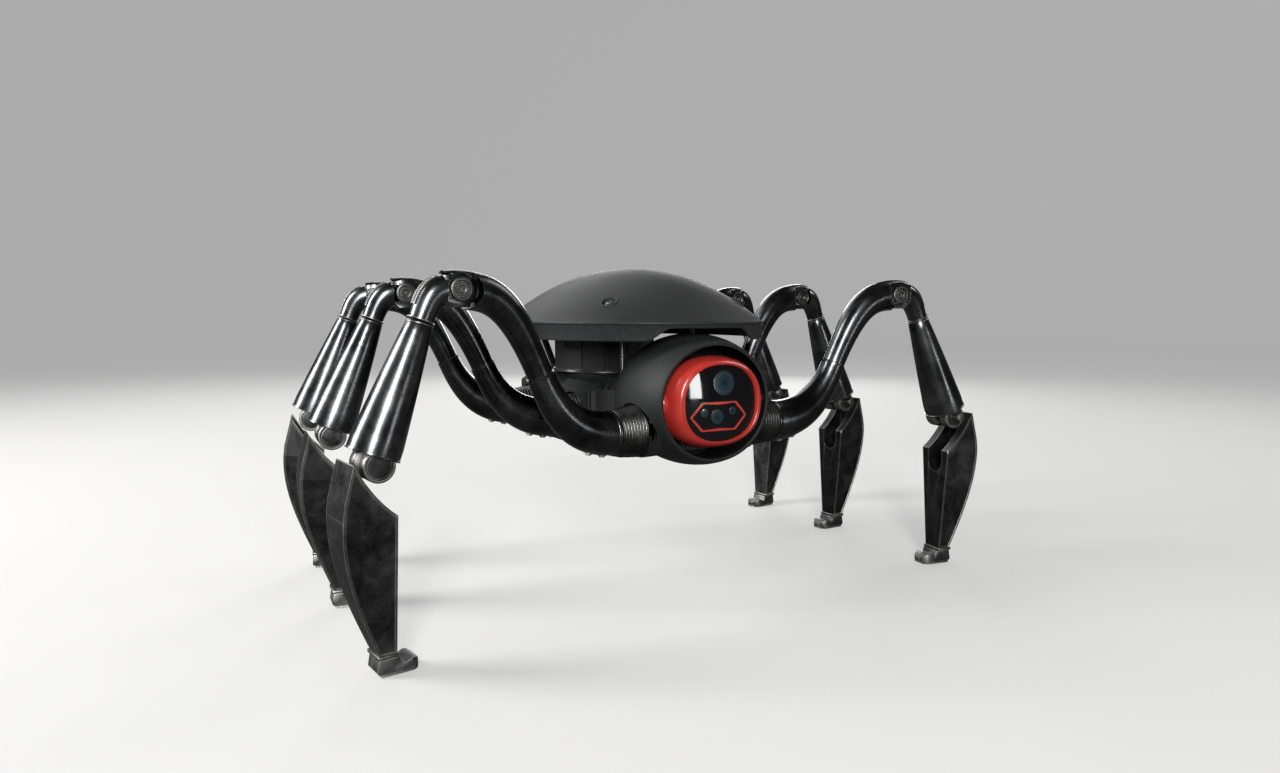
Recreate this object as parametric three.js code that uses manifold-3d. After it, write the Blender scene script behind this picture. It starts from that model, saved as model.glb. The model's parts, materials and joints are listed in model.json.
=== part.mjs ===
// Six-legged walking robot: a domed body on arched tubular legs, with a tilting camera in its front pod.
// Millimetres, +Z up. The robot faces -Y, its own right side is -X, and the ground is z = 0.
// Run with Node and the npm packages three and manifold-3d: the default export is the whole robot.
import * as THREE from "three";
import { mergeVertices } from "three/addons/utils/BufferGeometryUtils.js";
import Module from "manifold-3d";

const wasm = await Module();
wasm.setup();

// ---- Driving dimensions -------------------------------------------------------------------------

const GAP = 0.3; // clearance between neighbouring pieces
const TUBE_SIDES = 10; // facets round a leg tube
const PIN_SIDES = 10; // facets round a pin, ear or barrel
const KNEE_SIDES = 16; // facets round the knee's barrel and the hollow it turns in

// A leg lies in one upright plane. Its points are [distance out from the body's middle plane, height].
const HIP = { pivot: 36, height: 133, tubeStart: 73, swingPostRadius: 3.9 };
const SEAM = { at: [131, 178], slopeDeg: 66 };
const KNEE = { at: [190.4, 233.9], barrelRadius: 10.8, halfWidth: 7.5, tongueHalf: 4, cheekEdge: 9.3 };
const HOOD = { clearance: 2.4, wall: 1.6, half: 5 };
const COLLAR = [214.5, 214.3];
const CONE_END = [246.4, 134.8];
const ANKLE = { at: [246.6, 129.5], earRadius: 10, halfWidth: 12.9, tongueHalf: 4, seatRadius: 8.2 };
const TUBE_RADIUS = { hip: 16, seam: 9.6, thighKnee: 12.4, elbow: 9.8, collar: 7.8, cone: 16.9 };
const PIN_RADIUS = 3;
const PIN_HEAD_RADIUS = { knee: 7.5, ankle: 7.6 };
const BOOT = { inner: 51, bore: 8.6, ribs: 2, firstRadius: 19, lastRadius: 17.4, ribDepth: 1.4 };
const LEG_ROWS = [
  { row: "front", y: -93.7, splayDeg: 8.1 },
  { row: "middle", y: 0, splayDeg: -2.6 },
  { row: "rear", y: 88.2, splayDeg: -8.2 },
];
const SIDES = [
  { side: "right", sign: -1 },
  { side: "left", sign: 1 },
];

const BLADE = { innerEdge: 237.5, outerEdge: 268.5, bottom: 13, top: 132.5, spine: 8 };
const BLADE_WIDTH = { topHalf: 16, bottomHalf: 8.5, taperTop: 100 };
const BLADE_SLOT = { half: 8.2, floor: 81, top: 140 };
const PEG = { from: 240, to: 246, half: 3, depth: 5 };
const FOOT = { heelIn: 235, heelOut: 250, toeTip: 222, toeHeight: 7, height: 12.7, halfWidth: 9 };

const POD = { centre: [0, -99, 154], half: [54, 72, 50], wall: 2.5, mouthY: -133.3, backY: -60 };
const SOCKET = { halfWidth: 24.5, halfHeight: 20.5 };
const HULL = { halfWidth: 47, front: -59.7, back: 122, bottom: 103, top: 167, bevel: 9, wall: 3 };
const BOSS = { reach: 55, halfLength: 33, bottom: 106, top: 163, bevel: 7 };
const BELLY_OPENING = { halfWidth: 36, inset: 12 };
const DOORWAY_HALF = 30;
const DOME = { halfX: 104.5, halfY: 127.6, rim: 212, apex: 256.5, skirt: 198.5, wall: 3 };
const NOTCH = { topHalf: 30.6, footHalf: 46, lip: 4 };
const DOME_POSTS = [
  { y: -46, footX: 33, topX: 33, radius: 2 },
  { y: 92, footX: 30.5, topX: 50, radius: 3 },
];
const TOWER = { y: 50, radius: 46, bottom: HULL.top + GAP, top: 224 };
const TILT = { y: -122, z: 154, shaftRadius: 2.5, shaftHalf: 48 };
const BEZEL = { halfX: 40.5, halfZ: 34, front: -141, back: -114, windowHalfX: 32, windowHalfZ: 29.5 };
const CHASSIS = { spineHalf: 8, front: -106, back: 102, thick: 5, armHalf: 6, padRadius: 7 };
const BATTERY = { half: 24, front: -22, back: 84, height: 30 };
const BOARD_THICK = 1.6;

// ---- Materials ----------------------------------------------------------------------------------

const finish = (color, roughness, metalness) =>
  new THREE.MeshStandardMaterial({ color, roughness, metalness });
const MATERIALS = {
  leg_metal: finish(0x2b2d30, 0.22, 0.9),
  worn_metal: finish(0x3d3e40, 0.5, 0.8),
  pin_metal: finish(0x6a6c70, 0.35, 0.9),
  boot_metal: finish(0x55585c, 0.4, 0.8),
  shell_grey: finish(0x2a2c2d, 0.7, 0.1),
  dome_grey: finish(0x35383a, 0.5, 0.2),
  bezel_red: finish(0xc23428, 0.25, 0.1),
  window_black: finish(0x0a0b0d, 0.05, 0.2),
  lens_core: finish(0x20262b, 0.4, 0.3),
  frame_metal: finish(0x8a8d90, 0.5, 0.8),
  battery_blue: finish(0x2b4a6a, 0.6, 0.1),
  board_green: finish(0x1d5a34, 0.6, 0.1),
};

// ---- Solids -------------------------------------------------------------------------------------

function solid(geometry) {
  const bare = geometry.clone();
  bare.deleteAttribute("normal");
  bare.deleteAttribute("uv");
  const merged = mergeVertices(bare, 1e-3);
  const vertProperties = merged.attributes.position.array;
  const triVerts = new Uint32Array(merged.index.array);
  return new wasm.Manifold(new wasm.Mesh({ numProp: 3, vertProperties, triVerts }));
}

function geometryOf(manifold) {
  const { vertProperties, triVerts } = manifold.getMesh();
  const indexed = new THREE.BufferGeometry();
  indexed.setAttribute("position", new THREE.BufferAttribute(new Float32Array(vertProperties), 3));
  indexed.setIndex(new THREE.BufferAttribute(new Uint32Array(triVerts), 1));
  const flat = indexed.toNonIndexed();
  flat.computeVertexNormals();
  return flat;
}

function box([x0, x1], [y0, y1], [z0, z1]) {
  const geometry = new THREE.BoxGeometry(x1 - x0, y1 - y0, z1 - z0);
  return solid(geometry.translate((x0 + x1) / 2, (y0 + y1) / 2, (z0 + z1) / 2));
}

// A cylinder along Y, for knee and ankle parts, at [x, z].
function crossCylinder(radius, [y0, y1], [x, z], sides = PIN_SIDES) {
  const geometry = new THREE.CylinderGeometry(radius, radius, y1 - y0, sides);
  return solid(geometry.translate(x, (y0 + y1) / 2, z));
}

// An upright cylinder at [x, y].
function post(radius, [z0, z1], [x, y], sides = PIN_SIDES) {
  const geometry = new THREE.CylinderGeometry(radius, radius, z1 - z0, sides);
  return solid(geometry.rotateX(Math.PI / 2).translate(x, y, (z0 + z1) / 2));
}

// A prism whose outline is drawn in the leg plane (X, Z), from y = -half to y = half.
function legPrism(shape, half) {
  const geometry = new THREE.ExtrudeGeometry(shape, {
    depth: 2 * half,
    bevelEnabled: false,
    curveSegments: 4,
  });
  return solid(geometry.rotateX(Math.PI / 2).translate(0, half, 0));
}

// A round tube whose centre line runs in the leg plane and whose radius changes along it.
function taperedTube(curve, radiusAt, rings) {
  const geometry = new THREE.CylinderGeometry(1, 1, 1, TUBE_SIDES, rings);
  const place = geometry.attributes.position;
  for (let i = 0; i < place.count; i++) {
    const t = 0.5 - place.getY(i);
    const centre = curve.getPointAt(t);
    const along = curve.getTangentAt(t);
    const radius = radiusAt(t);
    const inPlane = -place.getX(i) * radius;
    const across = place.getZ(i) * radius;
    place.setXYZ(i, centre.x - inPlane * along.z, across, centre.z + inPlane * along.x);
  }
  return solid(geometry);
}

// A closed [radius, height] profile turned about Y, whichever way round its points run.
function turned(profile, sides) {
  const points = profile.map(([radius, height]) => new THREE.Vector2(radius, height));
  if (THREE.ShapeUtils.area(points) < 0) points.reverse();
  return new THREE.LatheGeometry(points, sides);
}

const inLegPlane = ([out, up]) => new THREE.Vector3(out, 0, up);
const mix = (a, b, t) => a + (b - a) * t;
const smooth = (t) => t * t * (3 - 2 * t);

// A curve that leaves one point at a slope and reaches another at a slope, by handle lengths.
function sweep(from, fromDeg, fromHandle, to, toDeg, toHandle) {
  const step = ([out, up], degrees, length) => {
    const angle = THREE.MathUtils.degToRad(degrees);
    return inLegPlane([out + length * Math.cos(angle), up + length * Math.sin(angle)]);
  };
  return new THREE.CubicBezierCurve3(
    inLegPlane(from),
    step(from, fromDeg, fromHandle),
    step(to, toDeg, -toHandle),
    inLegPlane(to),
  );
}

const coneSlopeDeg = THREE.MathUtils.radToDeg(
  Math.atan2(CONE_END[1] - COLLAR[1], CONE_END[0] - COLLAR[0]),
);

// ---- Leg pieces, in the leg's own frame: +X out from the body, +Z up -----------------------------

function hipBoot() {
  const { inner, bore, ribs, firstRadius, lastRadius, ribDepth } = BOOT;
  const outer = HIP.tubeStart - GAP;
  const profile = [[bore, inner]];
  for (let i = 0; i < ribs; i++) {
    const start = mix(inner, outer, i / ribs);
    const end = mix(inner, outer, (i + 0.75) / ribs);
    const radius = mix(firstRadius, lastRadius, i / (ribs - 1));
    profile.push([radius, start], [radius, end], [radius - ribDepth, end + 0.4]);
  }
  profile.push([TUBE_RADIUS.hip + 0.2, outer], [bore, outer], [bore, inner]);
  return solid(turned(profile, TUBE_SIDES).rotateZ(-Math.PI / 2).translate(0, 0, HIP.height));
}

function coxaTube() {
  const curve = sweep([HIP.tubeStart, HIP.height], 0, 36, SEAM.at, SEAM.slopeDeg, 20);
  const tube = taperedTube(curve, (t) => mix(TUBE_RADIUS.hip, TUBE_RADIUS.seam, smooth(t)), 5);
  const shaftGeometry = new THREE.CylinderGeometry(8, 8, HIP.tubeStart - HIP.pivot + 2, TUBE_SIDES);
  const shaftMiddle = (HIP.tubeStart + HIP.pivot + 2) / 2;
  const shaft = solid(shaftGeometry.rotateZ(Math.PI / 2).translate(shaftMiddle, 0, HIP.height));
  const eye = post(8, [HIP.height - 11, HIP.height + 11], [HIP.pivot, 0]);
  const bore = post(HIP.swingPostRadius + GAP, [HIP.height - 15, HIP.height + 15], [HIP.pivot, 0]);
  return tube.add(shaft).add(eye).subtract(bore);
}

// The thigh ends in a tongue on the knee pin, inside a round hollow that the shin's cheeks turn in.
function thighTube() {
  const [kneeX, kneeZ] = KNEE.at;
  const slope = THREE.MathUtils.degToRad(SEAM.slopeDeg);
  const start = [SEAM.at[0] + GAP * Math.cos(slope), SEAM.at[1] + GAP * Math.sin(slope)];
  const curve = sweep(start, SEAM.slopeDeg, 54, [kneeX + 4, kneeZ], 0, 30);
  const radiusAt = (t) => mix(TUBE_RADIUS.seam - 0.6, TUBE_RADIUS.thighKnee, smooth(t));
  const hollow = KNEE.barrelRadius + HOOD.clearance;
  const beyond = box([kneeX + 5, kneeX + 40], [-20, 20], [kneeZ - 40, kneeZ + 40]);
  const below = box([kneeX - 2, kneeX + 40], [-20, 20], [kneeZ - 40, kneeZ]);
  const hood = crossCylinder(hollow + HOOD.wall, [-HOOD.half, HOOD.half], KNEE.at, KNEE_SIDES)
    .subtract(box([kneeX - 40, kneeX - 10], [-20, 20], [kneeZ - 40, kneeZ + 40]))
    .subtract(below);
  const tongueWidth = [-KNEE.tongueHalf + GAP, KNEE.tongueHalf - GAP];
  const tongue = crossCylinder(KNEE.barrelRadius - 1.6, tongueWidth, KNEE.at);
  const neck = box([kneeX - hollow - 2, kneeX], tongueWidth, [kneeZ - 5, kneeZ + 5]);
  return taperedTube(curve, radiusAt, 6)
    .add(hood)
    .subtract(crossCylinder(hollow, [-20, 20], KNEE.at, KNEE_SIDES))
    .subtract(beyond)
    .subtract(below)
    .add(tongue)
    .add(neck)
    .subtract(crossCylinder(PIN_RADIUS + GAP, [-20, 20], KNEE.at));
}

function crossPin(at, half, headRadius) {
  const shaft = crossCylinder(PIN_RADIUS, [-half - 0.8, half + 0.8], at);
  const heads = [-1, 1].map((side) => {
    const faces = [side * (half + GAP), side * (half + 1)].sort((a, b) => a - b);
    return crossCylinder(headRadius, faces, at);
  });
  return shaft.add(heads[0]).add(heads[1]);
}

// Two cheeks on the knee pin, an elbow, a widening cone and two ears on the ankle pin, in one casting.
function shin() {
  const [kneeX, kneeZ] = KNEE.at;
  const elbowEnd = [mix(COLLAR[0], CONE_END[0], 0.03), mix(COLLAR[1], CONE_END[1], 0.03)];
  const elbowCurve = sweep([kneeX + 5, kneeZ], 0, 12, elbowEnd, coneSlopeDeg, 12);
  const elbow = taperedTube(elbowCurve, (t) => mix(TUBE_RADIUS.elbow, TUBE_RADIUS.collar, t), 3);
  const coneLine = new THREE.LineCurve3(inLegPlane(COLLAR), inLegPlane(CONE_END));
  const cone = taperedTube(coneLine, (t) => mix(TUBE_RADIUS.collar + 0.7, TUBE_RADIUS.cone, t), 1);
  const cheeks = crossCylinder(KNEE.barrelRadius, [-KNEE.halfWidth, KNEE.halfWidth], KNEE.at, KNEE_SIDES);
  const ears = crossCylinder(ANKLE.earRadius, [-ANKLE.halfWidth, ANKLE.halfWidth], ANKLE.at);
  const kneeSlot = new THREE.Shape();
  kneeSlot.moveTo(kneeX - 15, kneeZ - KNEE.barrelRadius - 1);
  kneeSlot.lineTo(kneeX, kneeZ - KNEE.barrelRadius - 1);
  kneeSlot.absarc(kneeX, kneeZ, KNEE.barrelRadius + 1, -Math.PI / 2, Math.PI / 2);
  kneeSlot.lineTo(kneeX - 15, kneeZ + KNEE.barrelRadius + 1);
  const ankleSlotWidth = [-ANKLE.tongueHalf, ANKLE.tongueHalf];
  const ankleSlot = crossCylinder(ANKLE.earRadius + 2 * GAP, ankleSlotWidth, ANKLE.at);
  const cheekEdge = kneeX + KNEE.cheekEdge;
  const flats = box([kneeX - 20, cheekEdge], [KNEE.halfWidth, 20], [kneeZ - 20, kneeZ + 20]).add(
    box([kneeX - 20, cheekEdge], [-20, -KNEE.halfWidth], [kneeZ - 20, kneeZ + 20]),
  );
  const pinSeats = crossCylinder(ANKLE.seatRadius, [ANKLE.halfWidth, 20], ANKLE.at).add(
    crossCylinder(ANKLE.seatRadius, [-20, -ANKLE.halfWidth], ANKLE.at),
  );
  return elbow
    .add(cone)
    .add(cheeks)
    .add(ears)
    .subtract(flats)
    .subtract(pinSeats)
    .subtract(legPrism(kneeSlot, KNEE.tongueHalf))
    .subtract(ankleSlot)
    .subtract(crossCylinder(PIN_RADIUS + GAP, [-20, 20], KNEE.at))
    .subtract(crossCylinder(PIN_RADIUS + GAP, [-20, 20], ANKLE.at));
}

function bladeOutline() {
  const { innerEdge, outerEdge, bottom, top } = BLADE;
  const shape = new THREE.Shape();
  shape.moveTo(innerEdge, bottom);
  shape.lineTo(innerEdge + 11, bottom);
  shape.bezierCurveTo(innerEdge + 25.5, 48, outerEdge + 5.5, 78, outerEdge, 110);
  shape.lineTo(outerEdge - 5.7, top);
  shape.quadraticCurveTo(innerEdge + 13.5, 110, innerEdge, 99);
  shape.lineTo(innerEdge, bottom);
  return shape;
}

// The blade seen from its outer edge: full width above, tapering to the foot.
function bladeTaper() {
  const { topHalf, bottomHalf, taperTop } = BLADE_WIDTH;
  const shape = new THREE.Shape();
  shape.moveTo(-bottomHalf, BLADE.bottom - 1);
  shape.lineTo(bottomHalf, BLADE.bottom - 1);
  shape.lineTo(topHalf, taperTop);
  shape.lineTo(topHalf, BLADE.top + 20);
  shape.lineTo(-topHalf, BLADE.top + 20);
  shape.lineTo(-topHalf, taperTop);
  const geometry = new THREE.ExtrudeGeometry(shape, { depth: 80, bevelEnabled: false });
  return solid(geometry.rotateX(Math.PI / 2).rotateZ(Math.PI / 2).translate(210, 0, 0));
}

// The web that joins the tongue on the ankle pin to the spine, between the blade's two side plates.
function bladeWeb() {
  const [x, z] = ANKLE.at;
  const shape = new THREE.Shape();
  shape.moveTo(x + 1, z - 8);
  shape.lineTo(x + 7, z - 17);
  shape.lineTo(x + 14, z - 27);
  shape.lineTo(x + 18.5, z - 20);
  shape.lineTo(x + 15.5, z - 2);
  shape.lineTo(x + 5, z + 7);
  return shape;
}

// A channel with a broad spine, a round-ended slot in its inner side and a tongue on the ankle pin.
function blade() {
  const slotSpan = [BLADE.innerEdge - 8, BLADE.outerEdge - BLADE.spine];
  const slotFloor = BLADE_SLOT.floor + BLADE_SLOT.half;
  const slot = box(slotSpan, [-BLADE_SLOT.half, BLADE_SLOT.half], [slotFloor, BLADE_SLOT.top]);
  const slotLength = slotSpan[1] - slotSpan[0];
  const slotEnd = new THREE.CylinderGeometry(BLADE_SLOT.half, BLADE_SLOT.half, slotLength, PIN_SIDES)
    .rotateZ(Math.PI / 2)
    .translate((slotSpan[0] + slotSpan[1]) / 2, 0, slotFloor);
  const tongueHalf = ANKLE.tongueHalf - GAP;
  const tongue = crossCylinder(ANKLE.earRadius - 1.2, [-tongueHalf, tongueHalf], ANKLE.at);
  const peg = box([PEG.from, PEG.to], [-PEG.half, PEG.half], [BLADE.bottom - PEG.depth, BLADE.bottom + 2]);
  return legPrism(bladeOutline(), 20)
    .intersect(bladeTaper())
    .subtract(slot.add(solid(slotEnd)))
    .add(legPrism(bladeWeb(), tongueHalf))
    .add(tongue)
    .add(peg)
    .subtract(crossCylinder(PIN_RADIUS + GAP, [-20, 20], ANKLE.at));
}

function foot() {
  const shape = new THREE.Shape();
  shape.moveTo(FOOT.toeTip, 0);
  shape.lineTo(FOOT.heelOut - 2, 0);
  shape.lineTo(FOOT.heelOut, 3);
  shape.lineTo(FOOT.heelOut - 1, FOOT.height);
  shape.lineTo(FOOT.heelIn, FOOT.height);
  shape.lineTo(FOOT.heelIn - 2, FOOT.toeHeight);
  shape.lineTo(FOOT.toeTip + 2, FOOT.toeHeight - 1);
  const pocketHalf = PEG.half + GAP;
  const pocketFloor = BLADE.bottom - PEG.depth - GAP;
  const pocket = box([PEG.from - GAP, PEG.to + GAP], [-pocketHalf, pocketHalf], [pocketFloor, 20]);
  return legPrism(shape, FOOT.halfWidth).subtract(pocket);
}

// ---- Body pieces, in the robot's frame ----------------------------------------------------------

// The oval openings that the legs leave through, for the rows named.
function sockets(rows, from) {
  const cuts = [];
  for (const { y, splayDeg } of rows) {
    for (const { sign } of SIDES) {
      const oval = new THREE.CylinderGeometry(1, 1, 60, 16)
        .scale(SOCKET.halfWidth, 1, SOCKET.halfHeight)
        .rotateZ(Math.PI / 2)
        .translate(from + 30, 0, HIP.height);
      oval.rotateZ(legHeading(sign, splayDeg)).translate(0, y, 0);
      cuts.push(solid(oval));
    }
  }
  return cuts.reduce((all, cut) => all.add(cut));
}

function ellipsoid(halves, grow) {
  const geometry = new THREE.SphereGeometry(1, 20, 12);
  const [x, y, z] = halves.map((half) => half + grow);
  return solid(geometry.rotateX(Math.PI / 2).scale(x, y, z).translate(...POD.centre));
}

function headShell() {
  const [, , z] = POD.centre;
  const slice = box([-90, 90], [POD.mouthY, POD.backY], [z - 90, z + 90]);
  const front = LEG_ROWS.filter(({ row }) => row === "front");
  return ellipsoid(POD.half, 0)
    .subtract(ellipsoid(POD.half, -POD.wall))
    .intersect(slice)
    .subtract(sockets(front, 20))
    .subtract(tiltRod(TILT.shaftRadius + GAP, 70));
}

function roundedRectangle(x0, x1, y0, y1, radius) {
  const shape = new THREE.Shape();
  shape.moveTo(x0 + radius, y0);
  shape.lineTo(x1 - radius, y0);
  shape.quadraticCurveTo(x1, y0, x1, y0 + radius);
  shape.lineTo(x1, y1 - radius);
  shape.quadraticCurveTo(x1, y1, x1 - radius, y1);
  shape.lineTo(x0 + radius, y1);
  shape.quadraticCurveTo(x0, y1, x0, y1 - radius);
  shape.lineTo(x0, y0 + radius);
  shape.quadraticCurveTo(x0, y0, x0 + radius, y0);
  return shape;
}

// A block with rounded plan corners and one sloping facet round its top and its bottom.
function facetedBlock([x0, x1], [y0, y1], [z0, z1], bevel, radius) {
  const shape = roundedRectangle(x0 + bevel, x1 - bevel, y0 + bevel, y1 - bevel, radius);
  const geometry = new THREE.ExtrudeGeometry(shape, {
    depth: z1 - z0 - 2 * bevel,
    bevelThickness: bevel,
    bevelSize: bevel,
    bevelSegments: 1,
    curveSegments: 3,
  });
  return solid(geometry.translate(0, 0, z0 + bevel));
}

function hullBlock(inset) {
  const half = HULL.halfWidth - inset;
  const span = [HULL.front + inset, HULL.back - inset];
  return facetedBlock([-half, half], span, [HULL.bottom + inset, HULL.top - inset], HULL.bevel, 16);
}

// The wider block that carries one row's two sockets.
function hipBoss(y) {
  const { reach, halfLength, bottom, top, bevel } = BOSS;
  return facetedBlock([-reach, reach], [y - halfLength, y + halfLength], [bottom, top], bevel, 3);
}

// The hull is open below, where the belly plate closes it, and in front, where the pod joins it.
function hullShell() {
  const { halfWidth, inset } = BELLY_OPENING;
  const openSpan = [HULL.front + inset, HULL.back - inset];
  const openBelow = box([-halfWidth, halfWidth], openSpan, [HULL.bottom - 5, HULL.bottom + inset]);
  const doorSpan = [HULL.front - 5, HULL.front + 10];
  const doorway = box([-DOORWAY_HALF, DOORWAY_HALF], doorSpan, [HULL.bottom + inset, HULL.top - inset]);
  const rows = LEG_ROWS.filter(({ row }) => row !== "front");
  return rows
    .reduce((hull, { y }) => hull.add(hipBoss(y)), hullBlock(0))
    .subtract(hullBlock(HULL.wall))
    .subtract(openBelow)
    .subtract(doorway)
    .subtract(sockets(rows, 30));
}

function bellyPlate() {
  const half = BELLY_OPENING.halfWidth - GAP;
  const span = [HULL.front + BELLY_OPENING.inset + GAP, HULL.back - BELLY_OPENING.inset - GAP];
  return box([-half, half], span, [HULL.bottom, HULL.bottom + HULL.wall]);
}

// A spine with one arm and one upright swing post for each leg.
function chassisFrame() {
  const { spineHalf, front, back, thick, armHalf, padRadius } = CHASSIS;
  const armTop = HIP.height - 12;
  const level = [armTop - thick, armTop];
  let frame = box([-spineHalf, spineHalf], [front, back], level);
  for (const { y, splayDeg } of LEG_ROWS) {
    for (const { sign } of SIDES) {
      const heading = legHeading(sign, splayDeg);
      const x = HIP.pivot * Math.cos(heading);
      const pivotY = y + HIP.pivot * Math.sin(heading);
      const arm = box([Math.min(0, x), Math.max(0, x)], [pivotY - armHalf, pivotY + armHalf], level);
      const swingPost = post(HIP.swingPostRadius, [armTop - thick, HIP.height + 14], [x, pivotY]);
      frame = frame.add(arm).add(post(padRadius, level, [x, pivotY])).add(swingPost);
    }
  }
  return frame;
}

// A shallow cap on an upright skirt, hollow below, with a notch over the pod and four posts.
function domeCover() {
  const steps = 6;
  const profile = [];
  const capHeight = DOME.apex - DOME.rim;
  const capAt = (share, drop) => DOME.rim - drop + capHeight * (1 - share ** 2.1);
  for (let i = 0; i <= steps; i++) {
    profile.push([i / steps, capAt(i / steps, 0)]);
  }
  const innerShare = 1 - DOME.wall / DOME.halfX;
  profile.push([1, DOME.skirt], [innerShare, DOME.skirt]);
  for (let i = steps; i >= 0; i--) {
    profile.push([(innerShare * i) / steps, capAt(i / steps, DOME.wall)]);
  }
  let dome = solid(turned(profile, 28).rotateX(Math.PI / 2).scale(DOME.halfX, DOME.halfY, 1));
  const notch = new THREE.Shape();
  notch.moveTo(-NOTCH.footHalf, DOME.skirt - 1);
  notch.lineTo(NOTCH.footHalf, DOME.skirt - 1);
  notch.lineTo(NOTCH.topHalf, DOME.rim - NOTCH.lip);
  notch.lineTo(-NOTCH.topHalf, DOME.rim - NOTCH.lip);
  const cut = new THREE.ExtrudeGeometry(notch, { depth: 60, bevelEnabled: false });
  dome = dome.subtract(solid(cut.rotateX(Math.PI / 2).translate(0, -100, 0)));
  for (const { y, footX, topX, radius } of DOME_POSTS) {
    const share = Math.hypot(topX / DOME.halfX, y / DOME.halfY);
    const top = capAt(share, DOME.wall / 2);
    dome = dome.add(leaningPost(radius, footX, topX, y, top)).add(leaningPost(radius, -footX, -topX, y, top));
  }
  return dome;
}

// A post under the dome whose foot stands clear of the hull's top and whose head may lean outwards.
function leaningPost(radius, footX, topX, y, top) {
  const foot = HULL.top + GAP;
  const geometry = new THREE.CylinderGeometry(radius, radius, 1, 8).rotateX(Math.PI / 2);
  const place = geometry.attributes.position;
  for (let i = 0; i < place.count; i++) {
    const share = place.getZ(i) + 0.5;
    place.setXYZ(i, place.getX(i) + mix(footX, topX, share), place.getY(i) + y, mix(foot, top, share));
  }
  return solid(geometry);
}

function electronicsTower() {
  const geometry = new THREE.CylinderGeometry(TOWER.radius, TOWER.radius, TOWER.top - TOWER.bottom, 24)
    .rotateX(Math.PI / 2)
    .translate(0, TOWER.y, (TOWER.top + TOWER.bottom) / 2);
  return solid(geometry);
}

// An oval turned about Y from a profile of [share of the full size, y].
function ovalLoft(profile, halfX, halfZ, sides) {
  return solid(turned(profile, sides).scale(halfX, 1, halfZ).translate(0, 0, TILT.z));
}

// A rod along the camera's tilt axis.
function tiltRod(radius, half) {
  const geometry = new THREE.CylinderGeometry(radius, radius, 2 * half, PIN_SIDES);
  return solid(geometry.rotateZ(Math.PI / 2).translate(0, TILT.y, TILT.z));
}

function cameraBezel() {
  const { front, back, halfX, halfZ, windowHalfX } = BEZEL;
  const lip = windowHalfX / halfX;
  const profile = [
    [lip, back],
    [0.9, back],
    [1, mix(back, front, 0.35)],
    [1, mix(back, front, 0.65)],
    [0.95, mix(back, front, 0.9)],
    [0.87, front],
    [lip + 0.01, front],
    [lip, back],
  ];
  return ovalLoft(profile, halfX, halfZ, 24).subtract(tiltRod(TILT.shaftRadius + GAP, 70));
}

function cameraWindow() {
  const { front, windowHalfX, windowHalfZ } = BEZEL;
  const profile = [
    [0, front + 5],
    [0.985, front + 5],
    [0.985, front + 2],
    [0.7, front - 1.5],
    [0, front - 3],
  ];
  return ovalLoft(profile, windowHalfX - GAP, windowHalfZ - 2 - GAP, 24);
}

function cameraCore() {
  const { front, back, windowHalfX, windowHalfZ } = BEZEL;
  const profile = [
    [0, back + 16],
    [0.6, back + 16],
    [0.96, back],
    [0.96, front + 8],
    [0, front + 8],
  ];
  return ovalLoft(profile, windowHalfX - GAP, windowHalfZ - 2 - GAP, 20).subtract(
    tiltRod(TILT.shaftRadius + GAP, 70),
  );
}

const tiltShaft = () => tiltRod(TILT.shaftRadius, TILT.shaftHalf);

const batteryBottom = HIP.height - 8;
const batteryTop = batteryBottom + BATTERY.height;
const batteryWidth = [-BATTERY.half, BATTERY.half];
const batteryLength = [BATTERY.front, BATTERY.back];
const batteryPack = () => box(batteryWidth, batteryLength, [batteryBottom, batteryTop]);
const controlBoard = () => box(batteryWidth, batteryLength, [batteryTop + 3, batteryTop + 3 + BOARD_THICK]);

// ---- Assembly -----------------------------------------------------------------------------------

function legHeading(sign, splayDeg) {
  const splay = THREE.MathUtils.degToRad(splayDeg);
  return sign > 0 ? -splay : Math.PI + splay;
}

function named(name, manifold, material) {
  const mesh = new THREE.Mesh(geometryOf(manifold), MATERIALS[material]);
  mesh.name = name;
  return mesh;
}

const LEG_PIECES = [
  ["hip_boot", hipBoot(), "boot_metal"],
  ["coxa_tube", coxaTube(), "leg_metal"],
  ["thigh_tube", thighTube(), "leg_metal"],
  ["knee_pin", crossPin(KNEE.at, KNEE.halfWidth, PIN_HEAD_RADIUS.knee), "pin_metal"],
  ["shin", shin(), "leg_metal"],
  ["ankle_pin", crossPin(ANKLE.at, ANKLE.halfWidth, PIN_HEAD_RADIUS.ankle), "pin_metal"],
  ["blade", blade(), "worn_metal"],
  ["foot", foot(), "worn_metal"],
];

function leg(label, sign, y, splayDeg) {
  const group = new THREE.Group();
  group.position.set(0, y, 0);
  group.rotation.z = legHeading(sign, splayDeg);
  for (const [piece, manifold, material] of LEG_PIECES) {
    group.add(named(`${label}_${piece}`, manifold, material));
  }
  return group;
}

const robot = new THREE.Group();
robot.add(named("hull_shell", hullShell(), "shell_grey"));
robot.add(named("belly_plate", bellyPlate(), "shell_grey"));
robot.add(named("head_shell", headShell(), "shell_grey"));
robot.add(named("chassis_frame", chassisFrame(), "frame_metal"));
robot.add(named("dome_cover", domeCover(), "dome_grey"));
robot.add(named("electronics_tower", electronicsTower(), "shell_grey"));
robot.add(named("battery_pack", batteryPack(), "battery_blue"));
robot.add(named("control_board", controlBoard(), "board_green"));
robot.add(named("camera_bezel", cameraBezel(), "bezel_red"));
robot.add(named("camera_window", cameraWindow(), "window_black"));
robot.add(named("camera_core", cameraCore(), "lens_core"));
robot.add(named("tilt_shaft", tiltShaft(), "pin_metal"));
for (const { side, sign } of SIDES) {
  for (const { row, y, splayDeg } of LEG_ROWS) {
    robot.add(leg(`${side}_${row}`, sign, y, splayDeg));
  }
}

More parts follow.
